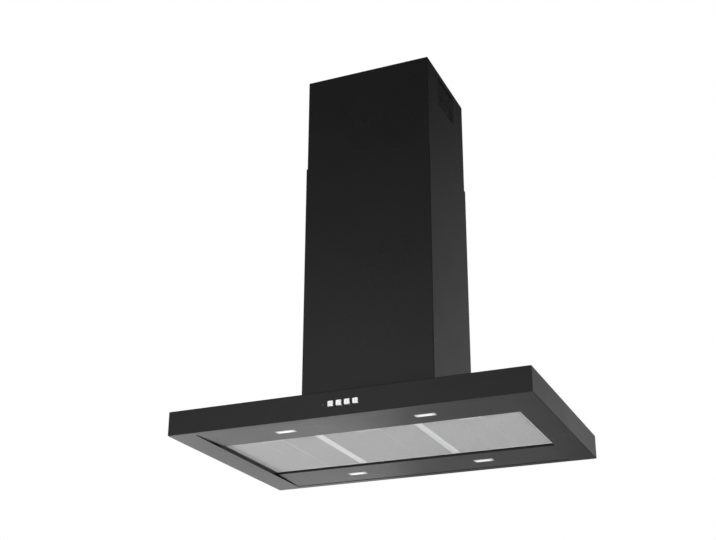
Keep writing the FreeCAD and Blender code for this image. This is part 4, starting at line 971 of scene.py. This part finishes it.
world = bpy.data.worlds.new("studio_room")
bpy.context.scene.world = world
world.use_nodes = True
tree = world.node_tree
direction = add_node(tree, "ShaderNodeTexCoord").outputs["Generated"]
upward = add_node(tree, "ShaderNodeSeparateXYZ", {0: direction}).outputs[2]
height = math_node(tree, "ARCSINE", upward)
share = between(tree, height, 0.0, 1.0, -math.pi / 2, math.pi / 2)
curve = add_node(tree, "ShaderNodeFloatCurve", {"Value": share})
points = curve.mapping.curves[0].points
for number, (degrees, brightness) in enumerate(WALL_BANDS):
    point = points[number] if number < 2 else points.new(0.5, 0.5)
    point.location = ((degrees + 90) / 180, brightness)
    point.handle_type = "VECTOR"
curve.mapping.update()
print("room painted in", len(points), "bands")

# %% White backdrop
BACKDROP_HALF_WIDTH = 14.0   # degrees
FADE_OUT, FADE_IN = 0.02, 0.01
view_axis = camera.rotation_euler.to_matrix() @ Vector((0, 0, -1))
toward = add_node(tree, "ShaderNodeVectorMath", {0: direction, 1: view_axis},
                  operation="DOT_PRODUCT").outputs["Value"]
rim = math.cos(math.radians(BACKDROP_HALF_WIDTH))
backdrop = between(tree, toward, 0.0, 1.0, rim - FADE_OUT, rim + FADE_IN)
rays = add_node(tree, "ShaderNodeLightPath").outputs
mirrored = math_node(tree, "MAXIMUM", rays["Is Glossy Ray"], rays["Is Transmission Ray"])
shown = math_node(tree, "MAXIMUM", rays["Is Camera Ray"], math_node(tree, "MULTIPLY", mirrored, backdrop))
seen = add_node(tree, "ShaderNodeMix", {0: shown, 6: curve.outputs[0], 7: (1, 1, 1, 1)}, data_type="RGBA")
tree.links.new(seen.outputs[2], tree.nodes["Background"].inputs["Color"])
print("backdrop behind", [round(v, 2) for v in view_axis])

# %% [markdown]
# The floor is plain, pale and round. It lies low, as under a hood that hangs from a ceiling. Towards its
# rim it glows for the camera alone, so that it fades into the white around it and still keeps the hood's
# shadow.

# %% Floor
FLOOR_Z, FLOOR_RADIUS = -2.65, 4.0
FLOOR_GLOW, GLOW_START, GLOW_END = 0.35, 0.6, 3.9     # in the middle, and where it grows to full white
bm = bmesh.new()
bmesh.ops.create_circle(bm, cap_ends=True, segments=96, radius=FLOOR_RADIUS)
floor_mesh = bpy.data.meshes.new("studio_floor")
bm.to_mesh(floor_mesh)
bm.free()
floor = bpy.data.objects.new("studio_floor", floor_mesh)
floor.location.z = FLOOR_Z
bpy.context.scene.collection.objects.link(floor)
pale, tree, sockets = open_material("pale_floor", 0.8)
sockets["Base Color"].default_value = (0.8, 0.8, 0.8, 1)
from_middle = add_node(tree, "ShaderNodeVectorMath", {0: object_place(tree)},
                       operation="LENGTH").outputs["Value"]
whiteness = between(tree, from_middle, FLOOR_GLOW, 1.0, GLOW_START, GLOW_END)
at_camera = add_node(tree, "ShaderNodeLightPath").outputs["Is Camera Ray"]
tree.links.new(math_node(tree, "MULTIPLY", whiteness, at_camera), sockets["Emission Strength"])
sockets["Emission Color"].default_value = (1, 1, 1, 1)
floor_mesh.materials.append(pale)
print("floor %.2f m under the ceiling" % -FLOOR_Z)

# %% [markdown]
# Six soft lamps: three low behind the hood, of which the left one throws a long reflection over the
# underside, and three in front. None of them is seen by the camera.

# %% Lamps
HOOD_MIDDLE = Vector((0.0, 0.0, -0.8))
SOFT_LAMPS = {               # place, diameter in metres, strength in watts
    "low_back_left": ((-4.4, 2.9, -2.3), 2.0, 450.0),
    "back_left": ((-2.6, 3.6, -2.1), 2.4, 8.5),
    "low_back": ((-1.6, 4.4, -2.2), 2.0, 1.3),
    "front_left": ((-3.0, -3.5, -1.9), 2.0, 31.0),
    "front_right": ((1.5, -4.0, -2.0), 1.6, 160.0),
    "front_high": ((-1.9, -4.6, 0.2), 2.2, 4.0),
}
for name, (place, size, power) in SOFT_LAMPS.items():
    lamp_data = bpy.data.lights.new(name, "AREA")
    lamp_data.shape, lamp_data.size, lamp_data.energy = "DISK", size, power
    lamp = bpy.data.objects.new(name, lamp_data)
    lamp.location = place
    lamp.rotation_euler = (HOOD_MIDDLE - lamp.location).to_track_quat("-Z", "Y").to_euler()
    lamp.visible_camera = False
    bpy.context.scene.collection.objects.link(lamp)
print("lamps:", ", ".join(SOFT_LAMPS))
